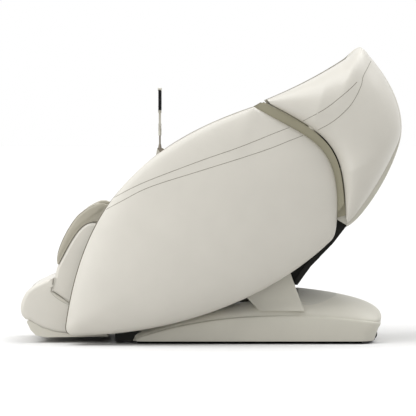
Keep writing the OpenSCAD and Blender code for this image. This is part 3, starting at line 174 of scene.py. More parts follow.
# finishes: colours are linear, grain is a noise scale, bump is a height in metres
# the first finish of a slot dresses its solids, and the later ones dress trim
finishes = {
    "shellGloss": {"slot": "shell_white", "color": (0.605, 0.584, 0.53), "rough": 0.38, "coat": 0.12,
                   "mottle": 0.02},
    "baseMatte": {"slot": "base_beige", "color": (0.57, 0.553, 0.485), "mottle": 0.03, "grain": 1400,
                  "bump": 0.00006},
    "linerMatte": {"slot": "liner_olive", "color": (0.32, 0.30, 0.215), "rough": 0.55, "mottle": 0.04,
                   "grain": 1400, "bump": 0.00006},
    "leather": {"slot": "upholstery", "color": (0.40, 0.375, 0.305), "mottle": 0.08, "grain": 420,
                "bump": 0.0005},
    "frameBlack": {"slot": "frame_black", "color": (0.018, 0.018, 0.016), "rough": 0.45, "specular": 0.1,
                   "mottle": 0.2, "bump": 0.00005},
    "plainSteel": {"slot": "plain_steel", "color": (0.5, 0.5, 0.49), "rough": 0.3, "metal": 1,
                   "mottle": 0.08, "grain": 700, "bump": 0.00003},
    "blackPlastic": {"slot": "black_plastic", "color": (0.02, 0.02, 0.018), "specular": 0.1,
                     "mottle": 0.15, "grain": 1300, "bump": 0.00008},
    "creamPlastic": {"slot": "cream_plastic", "color": (0.62, 0.6, 0.53), "rough": 0.42, "mottle": 0.03,
                     "grain": 1300, "bump": 0.00005},
    # darker deck colour: painted shade for the shaded recess behind the fins
    "deckGrey": {"slot": "base_beige", "color": (0.53, 0.52, 0.465), "rough": 0.6, "mottle": 0.03,
                 "grain": 1800, "bump": 0.0001},
    # dark olive for the pin lines, and for the painted shadow line along the side shells' front edge
    "pinLine": {"slot": "liner_olive", "color": (0.15, 0.14, 0.105)},
    "postGrey": {"slot": "cream_plastic", "color": (0.24, 0.21, 0.17), "rough": 0.4, "grain": 1300,
                 "bump": 0.00003},
    # dark colour for the calf pad's piping: painted shade of the crease beside the piping
    "seamDark": {"slot": "upholstery", "color": (0.16, 0.15, 0.12), "rough": 0.6, "bump": 0.00003},
    "cuffLine": {"slot": "shell_white", "color": (0.42, 0.41, 0.35), "mottle": 0.03},
    "cuffBand": {"slot": "shell_white", "color": (0.57, 0.555, 0.49), "mottle": 0.03},
    "blackRubber": {"slot": "black_rubber", "color": (0.015, 0.015, 0.014), "rough": 0.8,
                    "specular": 0.1, "mottle": 0.2, "grain": 1600, "bump": 0.0001},
    "screenGloss": {"slot": "screen_black", "color": (0.012, 0.012, 0.013), "rough": 0.25,
                    "specular": 0.1, "grain": 500, "bump": 0.00001},
    "greyMetal": {"slot": "grey_metal", "color": (0.32, 0.32, 0.33), "rough": 0.38, "metal": 1,
                  "mottle": 0.06, "bump": 0.00003},
    "switchRed": {"slot": "switch_red", "color": (0.30, 0.03, 0.03), "rough": 0.3, "coat": 0.2},
}
plainFinish = {  # what a finish has where it says nothing else
    "rough": 0.5, "coat": 0, "coatRough": 0.2, "metal": 0, "specular": 0.5, "mottle": 0.05, "grain": 900,
    "bump": 0.00002, "cloudScale": 7, "cloudDetail": 5, "cloudEnds": (0.3, 0.7), "wear": (0.85, 1.15),
    "grainDetail": 2, "bumpStrength": 0.6,
}


def noise(tree, place, scale, detail):
    return addNode(tree, "TexNoise", {"Vector": place, "Scale": scale, "Detail": detail}).outputs["Fac"]


def makeFinish(name, look):
    look = {**plainFinish, **look}
    material = bpy.data.materials.new(name)
    material.use_nodes = True
    tree = material.node_tree
    place = addNode(tree, "TexCoord", {}).outputs["Object"]
    cloud = noise(tree, place, look["cloudScale"], look["cloudDetail"])
    shade = addNode(tree, "ValToRGB", {"Fac": cloud})
    shares = (-look["mottle"], look["mottle"])
    for end, position, share in zip(shade.color_ramp.elements, look["cloudEnds"], shares):
        end.position = position
        end.color = (*[min(1, c * (1 + share)) for c in look["color"]], 1)
    least, most = [look["rough"] * share for share in look["wear"]]
    worn = addNode(tree, "MapRange", {"Value": cloud, "To Min": least, "To Max": most})
    grain = noise(tree, place, look["grain"], look["grainDetail"])
    bump = addNode(tree, "Bump", {"Height": grain, "Strength": look["bumpStrength"],
                                  "Distance": look["bump"]})
    feed(tree, tree.nodes["Principled BSDF"], {
        "Base Color": shade.outputs["Color"], "Roughness": worn.outputs["Result"],
        "Metallic": look["metal"], "Specular IOR Level": look["specular"],
        "Coat Weight": look["coat"], "Coat Roughness": look["coatRough"],
        "Normal": bump.outputs["Normal"]})
    return material


materials = {name: makeFinish(name, look) for name, look in finishes.items()}
finishOfSlot = {look["slot"]: name for name, look in reversed(finishes.items())}
for part in frame["record"]["subparts"]:
    node = nodes[part["node"]]
    node.data.materials.clear()
    node.data.materials.append(materials[finishOfSlot[part["material_slot"]]])
print("finishes ready")

# shapes: side view points are (y, z) in millimetres
mm = 0.001
sides = ((1, "Left"), (-1, "Right"))


def mix(a, b, share):
    return tuple(p + (q - p) * share for p, q in zip(a, b))


def curveAt(p, t):
    u = 1 - t
    shares = (u ** 3, 3 * u * u * t, 3 * u * t * t, t ** 3)
    return tuple(sum(share * c for share, c in zip(shares, way)) for way in zip(*p))


def curvePoints(p, count, first=0.0, last=1.0):  # both ends included
    return [curveAt(p, first + (last - first) * i / count) for i in range(count + 1)]


def joined(*runs):  # curves end to end, shared ends once
    line = []
    for run in runs:
        line += run[:-1]
    return line


def rightOf(a, b):
    e = (b[0] - a[0], b[1] - a[1])
    reach = math.hypot(*e) or 1
    return (e[1] / reach, -e[0] / reach)


def neighbours(line, i, closed=False):
    n = len(line)
    if closed:
        return line[i - 1], line[(i + 1) % n]
    return line[max(i - 1, 0)], line[min(i + 1, n - 1)]


def beside(line, d, closed=False):  # the line moved to its right
    ways = [rightOf(*neighbours(line, i, closed)) for i in range(len(line))]
    return [(p[0] + w[0] * d, p[1] + w[1] * d) for p, w in zip(line, ways)]


def inset(outline, d):
    return beside(outline, d, True)


def dome(s, power):
    return (1 - (1 - s) ** power) ** (1 / power)


def softLine(points, steps=6):  # passes through every point
    line = []
    n = len(points)
    for i in range(n - 1):
        a, b, c, d = points[max(i - 1, 0)], points[i], points[i + 1], points[min(i + 2, n - 1)]
        for k in range(steps):
            t = k / steps
            line.append(tuple(0.5 * (2 * q + (r - p) * t + (2 * p - 5 * q + 4 * r - s) * t * t
                        + (3 * q - p - 3 * r + s) * t ** 3) for p, q, r, s in zip(a, b, c, d)))
    return line + [tuple(points[-1])]


def turnOut(mesh):  # faces turned to look outward
    shape = bmesh.new()
    shape.from_mesh(mesh)
    bmesh.ops.recalc_face_normals(shape, faces=shape.faces)
    shape.to_mesh(mesh)
    shape.free()


def looseMesh(name, verts, faces, scale=mm):
    mesh = bpy.data.meshes.new(name)
    mesh.from_pydata([[c * scale for c in v] for v in verts], [], faces)
    mesh.validate()
    turnOut(mesh)
    return mesh


def makePiece(name, verts, faces, finish, body, sharp=40, scale=mm, node=None):
    return finishPiece(name, looseMesh(name, verts, faces, scale), finish, body, sharp, node)


def finishPiece(name, mesh, finish, body, sharp=40, node=None):  # node is the solid that it stands for
    turnOut(mesh)
    mesh.polygons.foreach_set("use_smooth", [True] * len(mesh.polygons))
    mesh.set_sharp_from_angle(angle=math.radians(sharp))
    mesh.materials.clear()
    mesh.materials.append(materials[finish])
    piece = placed(name, mesh)
    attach(piece, body)
    if node:
        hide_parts(node)
    return piece


def sideOf(points, side):  # mirrored for the sitter's right
    return [(p[0] * side, p[1], p[2]) for p in points]


def ringFaces(m, rings, capped=True):  # between rings of m points, and over the ends
    faces = []
    for j in range(rings - 1):
        for i in range(m):
            a, b = j * m + i, j * m + (i + 1) % m
            faces.append((a, b, b + m, a + m))
    if capped:
        faces += [tuple(range(m)), tuple((rings - 1) * m + i for i in range(m))]
    return faces


def sheetMesh(outside, inside):  # closed sheet between two grids of points
    m = len(outside[0])
    rings = [list(o) + list(reversed(i)) for o, i in zip(outside, inside)]
    w, k = 2 * m, len(rings)
    faces = ringFaces(w, k, False)
    e = (k - 1) * w
    for i in range(m - 1):
        faces.append((i + 1, i, w - 1 - i, w - 2 - i))
        faces.append((e + i, e + i + 1, e + w - 2 - i, e + w - 1 - i))
    return [p for r in rings for p in r], faces


def moved(p, dy, dz):
    return (p[0] + dy, p[1] + dz)


def cornerCurve(look, first, last):  # from one named corner to the next, with their handles
    a, b = look[first], look[last]
    return [a, moved(a, *look[first + "Out"]), moved(b, *look[last + "In"]), b]


def widened(points, widths):  # (y, z, half width)
    return [(p[0], p[1], x) for p, x in zip(points, widths)]


# side shells: crowned panels whose corners ease into an ellipse
sideShell = {
    "front": (-609, 86), "frontOut": (74, 514), "frontIn": (-4, -31),
    "top": (181, 1002), "topOut": (229, -137), "topIn": (-475, -161),
    "rear": (529, 540), "rearOut": (-3, -60), "rearIn": (16, 325),
    "heel": (500, 437), "heelOut": (-265, -257), "heelIn": (20, 18),
    "sole": (-570, 42), "soleOut": (-30, 0), "soleIn": (385, -2),
    "corners": ("front", "top", "rear", "heel", "sole"), "counts": (48, 36, 12, 42, 12),
    "middle": (-20, 470), "ellipse": (560, 300, 35), "easeEnd": 0.42,
    "edgeX": 335, "crownX": 415, "power": 2.2, "wall": 4,
    "outerRings": (24, 2, 0.985), "innerRings": (12, 1.6, 0.97),  # count, spacing power, last share
}


def shellOutline():
    look = sideShell
    corners = look["corners"]
    pairs = zip(corners, corners[1:] + corners[:1], look["counts"])
    return joined(*[curvePoints(cornerCurve(look, first, last), count) for first, last, count in pairs])


def crownRing(outline, s, top):
    look = sideShell
    my, mz = look["middle"]
    half, tall, turn = look["ellipse"]
    ease = min(1, s / look["easeEnd"])
    x = look["edgeX"] + (top - look["edgeX"]) * dome(s, look["power"])
    ring = []
    for y, z in outline:
        a = math.atan2(z - mz, y - my)
        turned = a - math.radians(turn)
        oval = half * tall / math.hypot(tall * math.cos(turned), half * math.sin(turned))
        reach = (math.hypot(y - my, z - mz) * (1 - ease) + oval * ease) * (1 - s)
        ring.append((x, my + reach * math.cos(a), mz + reach * math.sin(a)))
    return ring


def ringShares(count, power, last):
    return [(i / count) ** power * last for i in range(count + 1)]


def sideShellMesh():
    look = sideShell
    outer, inner = shellOutline(), inset(shellOutline(), look["wall"])
    low = look["crownX"] - look["wall"]
    rings = [crownRing(inner, s, low) for s in reversed(ringShares(*look["innerRings"]))]
    rings += [crownRing(outer, s, look["crownX"]) for s in ringShares(*look["outerRings"])]
    return [p for r in rings for p in r], ringFaces(len(outer), len(rings))


# shoulder shells: crowned between the band edge and the hood edge
shoulder = {
    "front": (223, 1027), "frontOut": (307, -157), "frontIn": (132, 53),
    "tip": (568, 506), "tipOut": (50, 44), "tipIn": (-8, 324),
    "rear": (800, 884), "rearOut": (14, 140), "rearIn": (-42, -140),
    "hood": (638, 1252), "hoodOut": (-139, -101), "hoodIn": (92, -100),
    "hoodHalf": 190, "hoodFlare": 30, "rearHalf": 235, "tipInset": 12,
    "crownX": 415, "wall": 4, "outerStart": 0.03, "innerStart": 0.036,
    "crest": 0.32, "rise": 260, "risePower": 0.6, "bandPower": 2.2, "outerPower": 2.1,
    "bandParts": 17, "hoodParts": 7, "rearParts": 5, "refined": 5,
    "shares": (0, 0.008, 0.02, 0.045, 0.08, 0.13, 0.18, 0.25, 0.32, 0.38, 0.44, 0.5, 0.56, 0.62,
               0.68, 0.74, 0.79, 0.83, 0.87, 0.9, 0.93, 0.957, 0.98, 0.992, 1),
}


def rearEdges():
    s, edge = shoulder, sideShell["edgeX"]
    tip, rear, hood = edge - s["tipInset"], s["rearHalf"], s["hoodHalf"]
    low = widened(cornerCurve(s, "tip", "rear"), (tip, tip, rear, rear))
    high = widened(cornerCurve(s, "rear", "hood"), (rear, rear, hood, hood))
    over = widened(cornerCurve(s, "hood", "front"), (hood, hood + s["hoodFlare"], edge, edge))
    return low, high, over


def shoulderRows(d, top, t0):
    s = shoulder
    edge = sideShell["edgeX"]
    bandCurve = widened(cornerCurve(s, "front", "tip"), [edge - s["tipInset"] * k / 3 for k in range(4)])
    low, high, over = rearEdges()
    # same pairing of band and outer points as in the frame, filled in between
    bandCoarse = curvePoints(bandCurve, s["bandParts"], t0, 1 - t0)
    outerCoarse = curvePoints(over[::-1], s["hoodParts"], t0, 1)[:-1]
    outerCoarse += curvePoints(high[::-1], s["rearParts"])[:-1]
    outerCoarse += curvePoints(low[::-1], s["rearParts"], 0, 1 - t0)
    band = softLine(bandCoarse, s["refined"])
    outer = softLine(outerCoarse, s["refined"])
    rows = []
    for a, b, near, far in zip(beside(band, -d), beside(outer, d), band, outer):
        crown = near[2] + (top - near[2]) * min(1, math.dist(a, b) / s["rise"]) ** s["risePower"]
        row = []
        for u in s["shares"]:
            if u < s["crest"]:
                x = near[2] + (crown - near[2]) * dome(u / s["crest"], s["bandPower"])
            else:
                x = far[2] + (crown - far[2]) * dome((1 - u) / (1 - s["crest"]), s["outerPower"])
            row.append((x, *mix(a, b, u)))
        rows.append(row)
    return rows


def shoulderMesh():
    s = shoulder
    outside = shoulderRows(0, s["crownX"], s["outerStart"])
    return sheetMesh(outside, shoulderRows(s["wall"], s["crownX"] - s["wall"], s["innerStart"]))


# rear cover between the shoulder shells, with a flange under each shell's rear edge
rearCover = {
    "bulge": 12, "bulgeFade": 0.9, "wall": 4, "edgeGap": 3, "across": 28, "along": 36, "rollSteps": 15,
    "tip": (4, -4), "tipHandle": (62, 18), "rearHandle": (-22, -150), "rearShift": 2,
    "roll": ((0, 0, 0), (-14, -2, 0), (-40, -20, -4), (-56, -52, -8)),
    "flangeGap": 0.6, "flangeSunk": 1, "flangeWall": 3, "flangeSteps": 4,
}


def makeRearCover():
    s, look = shoulder, rearCover
    edge, rear = sideShell["edgeX"] - s["tipInset"], s["rearHalf"]
    low, high = rearEdges()[:2]
    corners = [moved(s["tip"], *look["tip"]), moved(s["tip"], *look["tipHandle"]),
               moved(s["rear"], *look["rearHandle"]), moved(s["rear"], look["rearShift"], 0)]
    coverLow = widened(corners, (edge, edge, rear, rear))
    coverHigh = [(y if y == s["hood"][0] else y + look["rearShift"], z, x) for y, z, x in high]
    roll = [(*moved(s["hood"], dy, dz), s["hoodHalf"] + dx) for dy, dz, dx in look["roll"]]
    line = curvePoints(coverLow, look["along"])[:-1] + curvePoints(coverHigh, look["along"])[:-1]
    line += curvePoints(roll, look["rollSteps"])
    n = len(line)
    outside, inside = [], []
    for i, q in enumerate(line):
        m = rightOf(*neighbours(line, i))
        bulge = look["bulge"] * (1 - look["bulgeFade"] * (i / (n - 1)) ** 4)
        for grid, depth in ((outside, 0), (inside, look["wall"])):
            row = []
            for k in range(look["across"] + 1):
                u = 2 * k / look["across"] - 1
                d = bulge * (1 - abs(u) ** 3) - depth
                row.append((u * (q[2] - look["edgeGap"]), q[0] + m[0] * d, q[1] + m[1] * d))
            grid.append(row)
    makePiece("rearCover", *sheetMesh(outside, inside), "baseMatte", "back", node="rear_cover")
    edges = curvePoints(low, look["along"])[:-1] + curvePoints(high, look["along"])
    top, under = [], []
    for (y0, z0, x0), (y1, z1, x1) in zip(edges, line):
        near = (x0 - look["flangeGap"], y0, z0)
        far = (x1 - look["edgeGap"] - look["flangeSunk"], y1, z1)
        top.append([mix(near, far, k / look["flangeSteps"]) for k in range(look["flangeSteps"] + 1)])
        under.append([(x - look["flangeWall"], y, z) for x, y, z in top[-1]])
    makePair("rearFlange", *sheetMesh(top, under), "baseMatte", "back")


def makePair(name, verts, faces, finish, body, sharp=40, scale=mm):  # the piece and its mirror
    for side, word in sides:
        makePiece(name + word, sideOf(verts, side), faces, finish, body, sharp, scale)


shells = {}
for side, word in sides:
    for name, node, shape, body in (("sideShell", "side_shell_", sideShellMesh(), "seat"),
                                    ("shoulderShell", "shoulder_shell_", shoulderMesh(), "back")):
        verts, faces = shape
        shells[name + word] = makePiece(name + word, sideOf(verts, side), faces, "shellGloss", body,
                                        node=node + word.lower())
makeRearCover()
print("shells made")


def treeOf(mesh):
    corners = [v.co.copy() for v in mesh.vertices]
    return BVHTree.FromPolygons(corners, [tuple(p.vertices) for p in mesh.polygons])


def boxMesh(low, high):
    xs, ys, zs = zip(low, high)
    corners = [(x, y, z) for x in xs for y in ys for z in zs]
    faces = [(0, 1, 3, 2), (4, 6, 7, 5), (0, 4, 5, 1), (2, 3, 7, 6), (0, 2, 6, 4), (1, 5, 7, 3)]
    return looseMesh("cut", corners, faces)


def loftMesh(rows):  # rows joined into one closed solid
    return looseMesh("loft", [p for r in rows for p in r], ringFaces(len(rows[0]), len(rows)))


def slabMesh(outline, x0, x1):  # a side view outline between two widths
    return loftMesh([[(x, *p) for p in outline] for x in (x0, x1)])


def settledMesh(piece):  # the mesh that the piece's modifiers give
    graph = bpy.context.evaluated_depsgraph_get()
    return bpy.data.meshes.new_from_object(piece.evaluated_get(graph))


def carved(name, mesh, cutters):  # the mesh with the cutters taken out
    solid = placed(name + "Solid", mesh)
    group = bpy.data.collections.new(name + "Cuts")
    scene.collection.children.link(group)
    tools = [bpy.data.objects.new(name + "Cut", cutter) for cutter in cutters]
    for tool in tools:
        group.objects.link(tool)
    step = solid.modifiers.new("cuts", "BOOLEAN")
    step.operand_type = "COLLECTION"
    step.collection = group
    step.solver = "EXACT"
    result = settledMesh(solid)
    for tool in tools + [solid]:
        bpy.data.objects.remove(tool)
    bpy.data.collections.remove(group)
    return result


# base cover: long skirt, soft crease and a domed deck, open over the mechanism
baseCover = {
    "front": -350, "rear": 706, "half": 285, "wall": 4, "foot": 12, "split": 0.62, "stations": 64,
    "deckFront": ((-350, 50), (-150, 110), (100, 222), (330, 224)),
    "deckRear": ((330, 224), (470, 213), (722, 181), (733, 108)),
    "crease": ((-348, 14), (-20, 140), (375, 140), (731, 88)),
    "creaseRound": ((0, 10), (0.8, 6), (2.6, 2.8), (5.5, 0.9), (9, 0.1)),  # inward and down
    "planPower": (30, 26), "planRound": 0.4, "endSpread": 0.492,
    "ledge": 12, "domeWide": 2.4, "domeHigh": (0.48, 0.66), "domeBlend": (0.62, 0.16), "domeSteps": 14,
    "well": ((-214, -246, 54), (214, 372, 354)),
    "bracket": ((213, 180, 10), (246, 372, 310)),
    "wheel": ((162, 648, 0), (210, 742, 69)),
    "runner": ((203.7, -376, 0), (244.3, -176, 50.3)),
    "panel": ((-50, 645.3, 0), (50, 765, 70)),
    "sharp": 24,
}


def easeIn(a):
    a = min(1, max(0, a))
    return a * a * (3 - 2 * a)


def baseSection(t, d):
    b = baseCover
    if t < b["split"]:
        deck = curveAt(b["deckFront"], t / b["split"])
    else:
        deck = curveAt(b["deckRear"], (t - b["split"]) / (1 - b["split"]))
    crease = curveAt(b["crease"], t)
    footY = b["front"] + (b["rear"] - b["front"]) * t
    plan = (1 - abs(2 * t - 1) ** b["planPower"][t > 0.5]) ** b["planRound"]
    w = b["half"] * plan - d
    c = max(crease[1] - d / 2, b["foot"] + 2)
    top = deck[1] - d
    low = b["foot"] if d == 0 else b["foot"] - 6
    half = [(w, footY, low), (w, footY * 0.5 + crease[0] * 0.5, (low + c) / 2)]
    half += [(w - dx, crease[0], c - dz) for dx, dz in b["creaseRound"]]
    inner = w - b["ledge"]
    front, rear = b["domeHigh"]
    start, over = b["domeBlend"]
    power = front + (rear - front) * easeIn((t - start) / over)
    for k in range(b["domeSteps"] + 1):
        s = math.cos(math.pi / 2 * k / b["domeSteps"]) if k < b["domeSteps"] else 0
        h = (1 - s ** b["domeWide"]) ** power
        half.append((inner * s, crease[0] + (deck[0] - crease[0]) * h, c + (top - c) * h))
    half = [(x, y + d * (1 - 2 * t), z) for x, y, z in half]
    return half + [(-x, y, z) for x, y, z in reversed(half[:-1])]


# pivot covers: fins that rise through the deck under the side shells, flared at the foot
pivotCover = {
    "inner": 246, "outer": 267, "flare": 17, "flareHigh": 60, "round": 6, "gap": 0.8,
    "low": 141, "lowest": 142.01, "high": 326.5, "leanOver": 12, "roundOver": 20, "levels": 26, "sharp": 32,
    "front": [(204, 142), (150, 196)],
    "ridge": [(150, 196), (160, 236), (199, 302), (247, 323)],
    "rear": [(279, 327), (322, 320), (336, 300), (394, 142)],
    "shares": (0, 0.01, 0.035, 0.08, 0.2, 0.35, 0.5, 0.65, 0.8, 0.92, 0.965, 0.99, 1),
    "bossRadius": 0.012, "bossDepth": 0.0075, "bossX": 0.24825, "bossZ": 0.192, "bossY": (0.225, 0.313),
}


def finOutline():
    f = pivotCover
    return f["front"] + curvePoints(f["ridge"], 6)[1:] + f["rear"]


def makeBaseCover():
    b, f = baseCover, pivotCover
    n = b["stations"]
    spread = [0.5 - b["endSpread"] * math.cos(math.pi * i / n) for i in range(n + 1)]
    outer = loftMesh([baseSection(t, 0) for t in spread])
    hollow = loftMesh([baseSection(t, b["wall"]) for t in spread])
    cutters = [hollow, boxMesh(*b["well"]), boxMesh(*b["panel"])]
    for key in ("bracket", "wheel", "runner"):
        low, high = b[key]
        cutters.append(boxMesh(low, high))
        cutters.append(boxMesh((-high[0], low[1], low[2]), (-low[0], high[1], high[2])))
    grown = inset(finOutline(), f["gap"])
    for side, word in sides:
        cutters.append(slabMesh(grown, side * (f["inner"] - 1), side * f["outer"]))
    mesh = carved("baseCover", outer, cutters)
    return finishPiece("baseCover", mesh, "baseMatte", "base", b["sharp"], "base_cover")


def crossing(line, level):  # least and greatest y where a closed outline meets a height
    found = []
    for i, (y0, z0) in enumerate(line):
        y1, z1 = line[(i + 1) % len(line)]
        if z0 != z1 and min(z0, z1) <= level <= max(z0, z1):
            found.append(y0 + (y1 - y0) * (level - z0) / (z1 - z0))
    return min(found), max(found)


def finRows():
    f = pivotCover
    outline = finOutline()
    outside, inside = [], []
    for j in range(f["levels"] + 1):
        z = f["low"] + (f["high"] - f["low"]) * math.sin(math.pi / 2 * j / f["levels"])
        left, right = crossing(outline, max(z, f["lowest"]))
        out = f["outer"] + f["flare"] * max(0, 1 - (z - f["low"]) / f["flareHigh"]) ** 2
        out -= f["round"] * max(0, 1 - (f["high"] - z) / f["leanOver"]) ** 2
        rowOut, rowIn = [], []
        for u in f["shares"]:
            edge = max(0, 1 - min(u, 1 - u) * (right - left) / f["round"])
            turn = f["round"] * (1 - math.sqrt(1 - edge * edge)) * min(1, (z - f["low"]) / f["roundOver"])
            y = left + (right - left) * u
            rowOut.append((out - turn, y, z))
            rowIn.append((f["inner"], y, z))
        outside.append(rowOut)
        inside.append(rowIn)
    return outside, inside


def makePivotCovers():
    f = pivotCover
    verts, faces = sheetMesh(*finRows())
    shape = bmesh.new()
    turn = Matrix.Rotation(math.radians(90), 4, "Y")
    for side, word in sides:
        shape.from_mesh(looseMesh("fin", sideOf(verts, side), faces))
        for y in f["bossY"]:
            boss = bmesh.ops.create_cone(shape, cap_ends=True, segments=32, radius1=f["bossRadius"],
                                         radius2=f["bossRadius"], depth=f["bossDepth"])
            place = Matrix.Translation((side * f["bossX"], y, f["bossZ"]))
            bmesh.ops.transform(shape, verts=boss["verts"], matrix=place @ turn)
    mesh = bpy.data.meshes.new("pivotCovers")
    shape.to_mesh(mesh)
    shape.free()
    finishPiece("pivotCovers", mesh, "baseMatte", "base", f["sharp"], "pivot_covers")


# darker panel laid on the rear deck's cover: painted shade for the shaded recess behind the fins
paintedDeckShade = {
    "middleY": 392, "reachY": 152, "reachX": 243, "startY": 374, "endGap": 1,
    "lift": 0.5, "sunk": 0.4, "steps": 26, "castFrom": 0.5,
}


def makePaintedDeckShade(cover):
    p = paintedDeckShade
    tree = treeOf(cover.data)
    n = p["steps"]
    last = p["middleY"] + p["reachY"] - p["endGap"]
    rows = []
    for i in range(n + 1):
        y = p["startY"] + (last - p["startY"]) * math.sin(math.pi / 2 * i / n)
        reach = p["reachX"] * math.sqrt(max(0, 1 - ((y - p["middleY"]) / p["reachY"]) ** 2))
        row = []
        for k in range(n + 1):
            x = -reach + 2 * reach * k / n
            hit = tree.ray_cast(Vector((x * mm, y * mm, p["castFrom"])), Vector((0, 0, -1)))
            row.append((x, y, hit[0].z / mm))
        rows.append(row)
    top, low = [[[(x, y, z + d) for x, y, z in row] for row in rows] for d in (p["lift"], -p["sunk"])]
    makePiece("paintedDeckShade", *sheetMesh(top, low), "deckGrey", "base", 30)


cover = makeBaseCover()
makePivotCovers()
makePaintedDeckShade(cover)
print("base made")


def tubeMesh(points, radius, around=10, closed=False):
    points = [Vector(p) for p in points]
    n = len(points)
    verts, side = [], None
    for i, p in enumerate(points):
        before, after = neighbours(points, i, closed)
        along = (after - before).normalized()
        if side is None:
            side = along.cross(Vector((0.31, 0.2, 0.93))).normalized()
        side = (side - along * side.dot(along)).normalized()
        up = along.cross(side)
        for k in range(around):
            a = 2 * math.pi * k / around
            verts.append(tuple(p + side * radius * math.cos(a) + up * radius * math.sin(a)))
    faces = ringFaces(around, n + closed, not closed)
    return verts, [[i % (n * around) for i in face] for face in faces]


# dark line along the front edge of the side shells: painted shadow of the gap at the shell's edge
edgeShadeLine = {"radius": 2, "out": 1.2, "sunk": 2.4, "shift": 1, "before": 8, "last": 25, "fades": (2, 8)}


def makeEdgeShadeLine():
    g = edgeShadeLine
    whole = shellOutline()
    sunk, proud = inset(whole, g["sunk"]), inset(whole, -g["out"])
    points = []
    for i in range(-g["before"], g["last"]):
        ease = min(1, (i + g["before"]) / g["fades"][0], (g["last"] - 1 - i) / g["fades"][1])
        points.append((sideShell["edgeX"] + g["shift"], *mix(sunk[i], proud[i], ease)))
    makePair("shellEdgeShadeLine", *tubeMesh(points, g["radius"]), "pinLine", "seat")


# leg frame: (along the calf's thickness, up the calf), from the knee pins
knee = (-425, 500)
legLean = math.radians(36)


def inLeg(y, z):
    c, s = math.cos(legLean), math.sin(legLean)
    return (knee[0] + y * c + z * s, knee[1] + z * c - y * s)


def fromLeg(y, z):
    c, s = math.cos(legLean), math.sin(legLean)
    return ((y - knee[0]) * c - (z - knee[1]) * s, (y - knee[0]) * s + (z - knee[1]) * c)


# foot unit, in the leg frame: rounded rim over the shell's edges, seal, and a skirt under the calf shell
footLook = {
    "low": (-57, -536), "lowOut": (-70, -2), "lip": (-74, -310), "lipIn": (-80, -88), "toeEnd": 0.95,
    "heel": (226, -380), "keel": [(200, -408), (160, -446), (90, -532), (-45, -530)],
    "middle": (30, -450), "keelSteps": 22, "toeSteps": 40,
    "half": 216, "round": 16, "rimFrom": 174, "rimSunk": 0.6, "rimOut": 0.3, "rimSide": (0.2, 36),
    "rimSteps": 8, "wall": 1.4, "wallShare": 0.006,
    "sink": 15, "sinkFrom": -450, "sinkTo": -345, "sinkFront": (-20, 45), "sinkWay": (0.74, -0.67),
    "sealX": 213.8, "sealRadius": 1.7,
    "seal": [(-72.5, -311), (-66, -323), (-55, -344), (-44, -365), (-36, -366), (20, -366), (150, -366)],
    "panelX": (207, 211.6),
    "panel": [(-71.5, -312), (-66, -322), (-43, -364.4), (130, -364.4), (130, -250), (10, -250),
              (-50, -300)],
}


def sunkToe(y, z):  # the toe's upper end sits a little lower
    f = footLook
    start, over = f["sinkFront"]
    d = f["sink"] * easeIn((z - f["sinkFrom"]) / (f["sinkTo"] - f["sinkFrom"])) * easeIn((start - y) / over)
    return (y + f["sinkWay"][0] * d, z + f["sinkWay"][1] * d)


def rimProfile():  # (half width, depth under the shell's edge)
    f = footLook
    flat, r, sunk = f["half"] - f["round"], f["round"], f["rimSunk"]
    rim = [(f["rimFrom"], -sunk), (flat, -sunk)]
    for k in range(1, f["rimSteps"] + 1):
        a = math.pi / 2 * k / f["rimSteps"]
        rim.append((flat + (r + f["rimOut"]) * math.sin(a), (r + sunk) * (1 - math.cos(a)) - sunk))
    rim.append((f["half"] + f["rimSide"][0], f["rimSide"][1]))
    return rim


def makeFootTrim():
    f = footLook
    toe = curvePoints(cornerCurve(f, "low", "lip"), f["toeSteps"], 0, f["toeEnd"])
    path = [f["heel"]] + curvePoints(f["keel"], f["keelSteps"]) + toe
    rim = rimProfile()
    rows = [beside(path, d) for x, d in rim]
    top, under = [], []
    for i in range(len(path)):
        line = [(x, row[i]) for (x, d), row in zip(rim, rows)]
        top.append([(x, *inLeg(*sunkToe(*p))) for x, p in line])
        lower = [(x, mix(p, f["middle"], f["wallShare"])) for x, p in line]
        under.append([(x - f["wall"], *inLeg(*sunkToe(*p))) for x, p in lower])
    makePair("footRim", *sheetMesh(top, under), "shellGloss", "foot")
    line = [(f["sealX"], *inLeg(*sunkToe(*p))) for p in softLine(f["seal"], 5)]
    makePair("footSeal", *tubeMesh(line, f["sealRadius"]), "shellGloss", "foot")
    near, far = f["panelX"]
    for side, word in sides:
        mesh = slabMesh([inLeg(*sunkToe(*p)) for p in f["panel"]], side * near, side * far)
        finishPiece("calfSkirt" + word, mesh, "shellGloss", "legrest", 30)


def throughPixel(px, py):
    half = studio["pixels"] / 2
    wide = studio["frameWidth"] / studio["cameraDistance"] / 2
    camera = scene.camera
    turn = camera.rotation_euler.to_matrix()
    ahead = turn @ Vector(((px - half) / half * wide, -(py - half) / half * wide, -1)).normalized()
    return camera.location.copy(), ahead


def onPlane(px, py, x):  # (y, z) in millimetres of a picture point in the plane of that x
    start, ahead = throughPixel(px, py)
    spot = start + ahead * ((x * mm - start.x) / ahead.x)
    return (spot.y / mm, spot.z / mm)


# plates behind the side shell's rear edge and at the band's ends
plates = {
    "backPanel": {
        "x": (230, 233.8), "finish": "blackPlastic", "body": "back",
        "outline": [(528, 519), (572, 519), (574, 498), (517, 424), (455, 360), (436, 396), (500, 466),
                    (521, 496)]},
    "seatGusset": {
        "x": (226.3, 229), "finish": "blackPlastic", "body": "seat",
        "outline": [(462, 366), (423.5, 326.4), (394, 286), (375, 258.5), (366, 247), (346, 250),
                    (400, 330), (440, 374)]},
    "bandTail": {
        "x": (318, 321), "finish": "linerMatte", "body": "back",
        "pixels": [(336.8, 196), (344.6, 196), (345.6, 204), (346, 215.3), (337.2, 217.6)]},
    "bandFoot": {
        "x": (311, 315), "finish": "baseMatte", "body": "back",
        "pixels": [(336.9, 214), (346.6, 212), (347, 225.4), (337.2, 219.6)]},
}


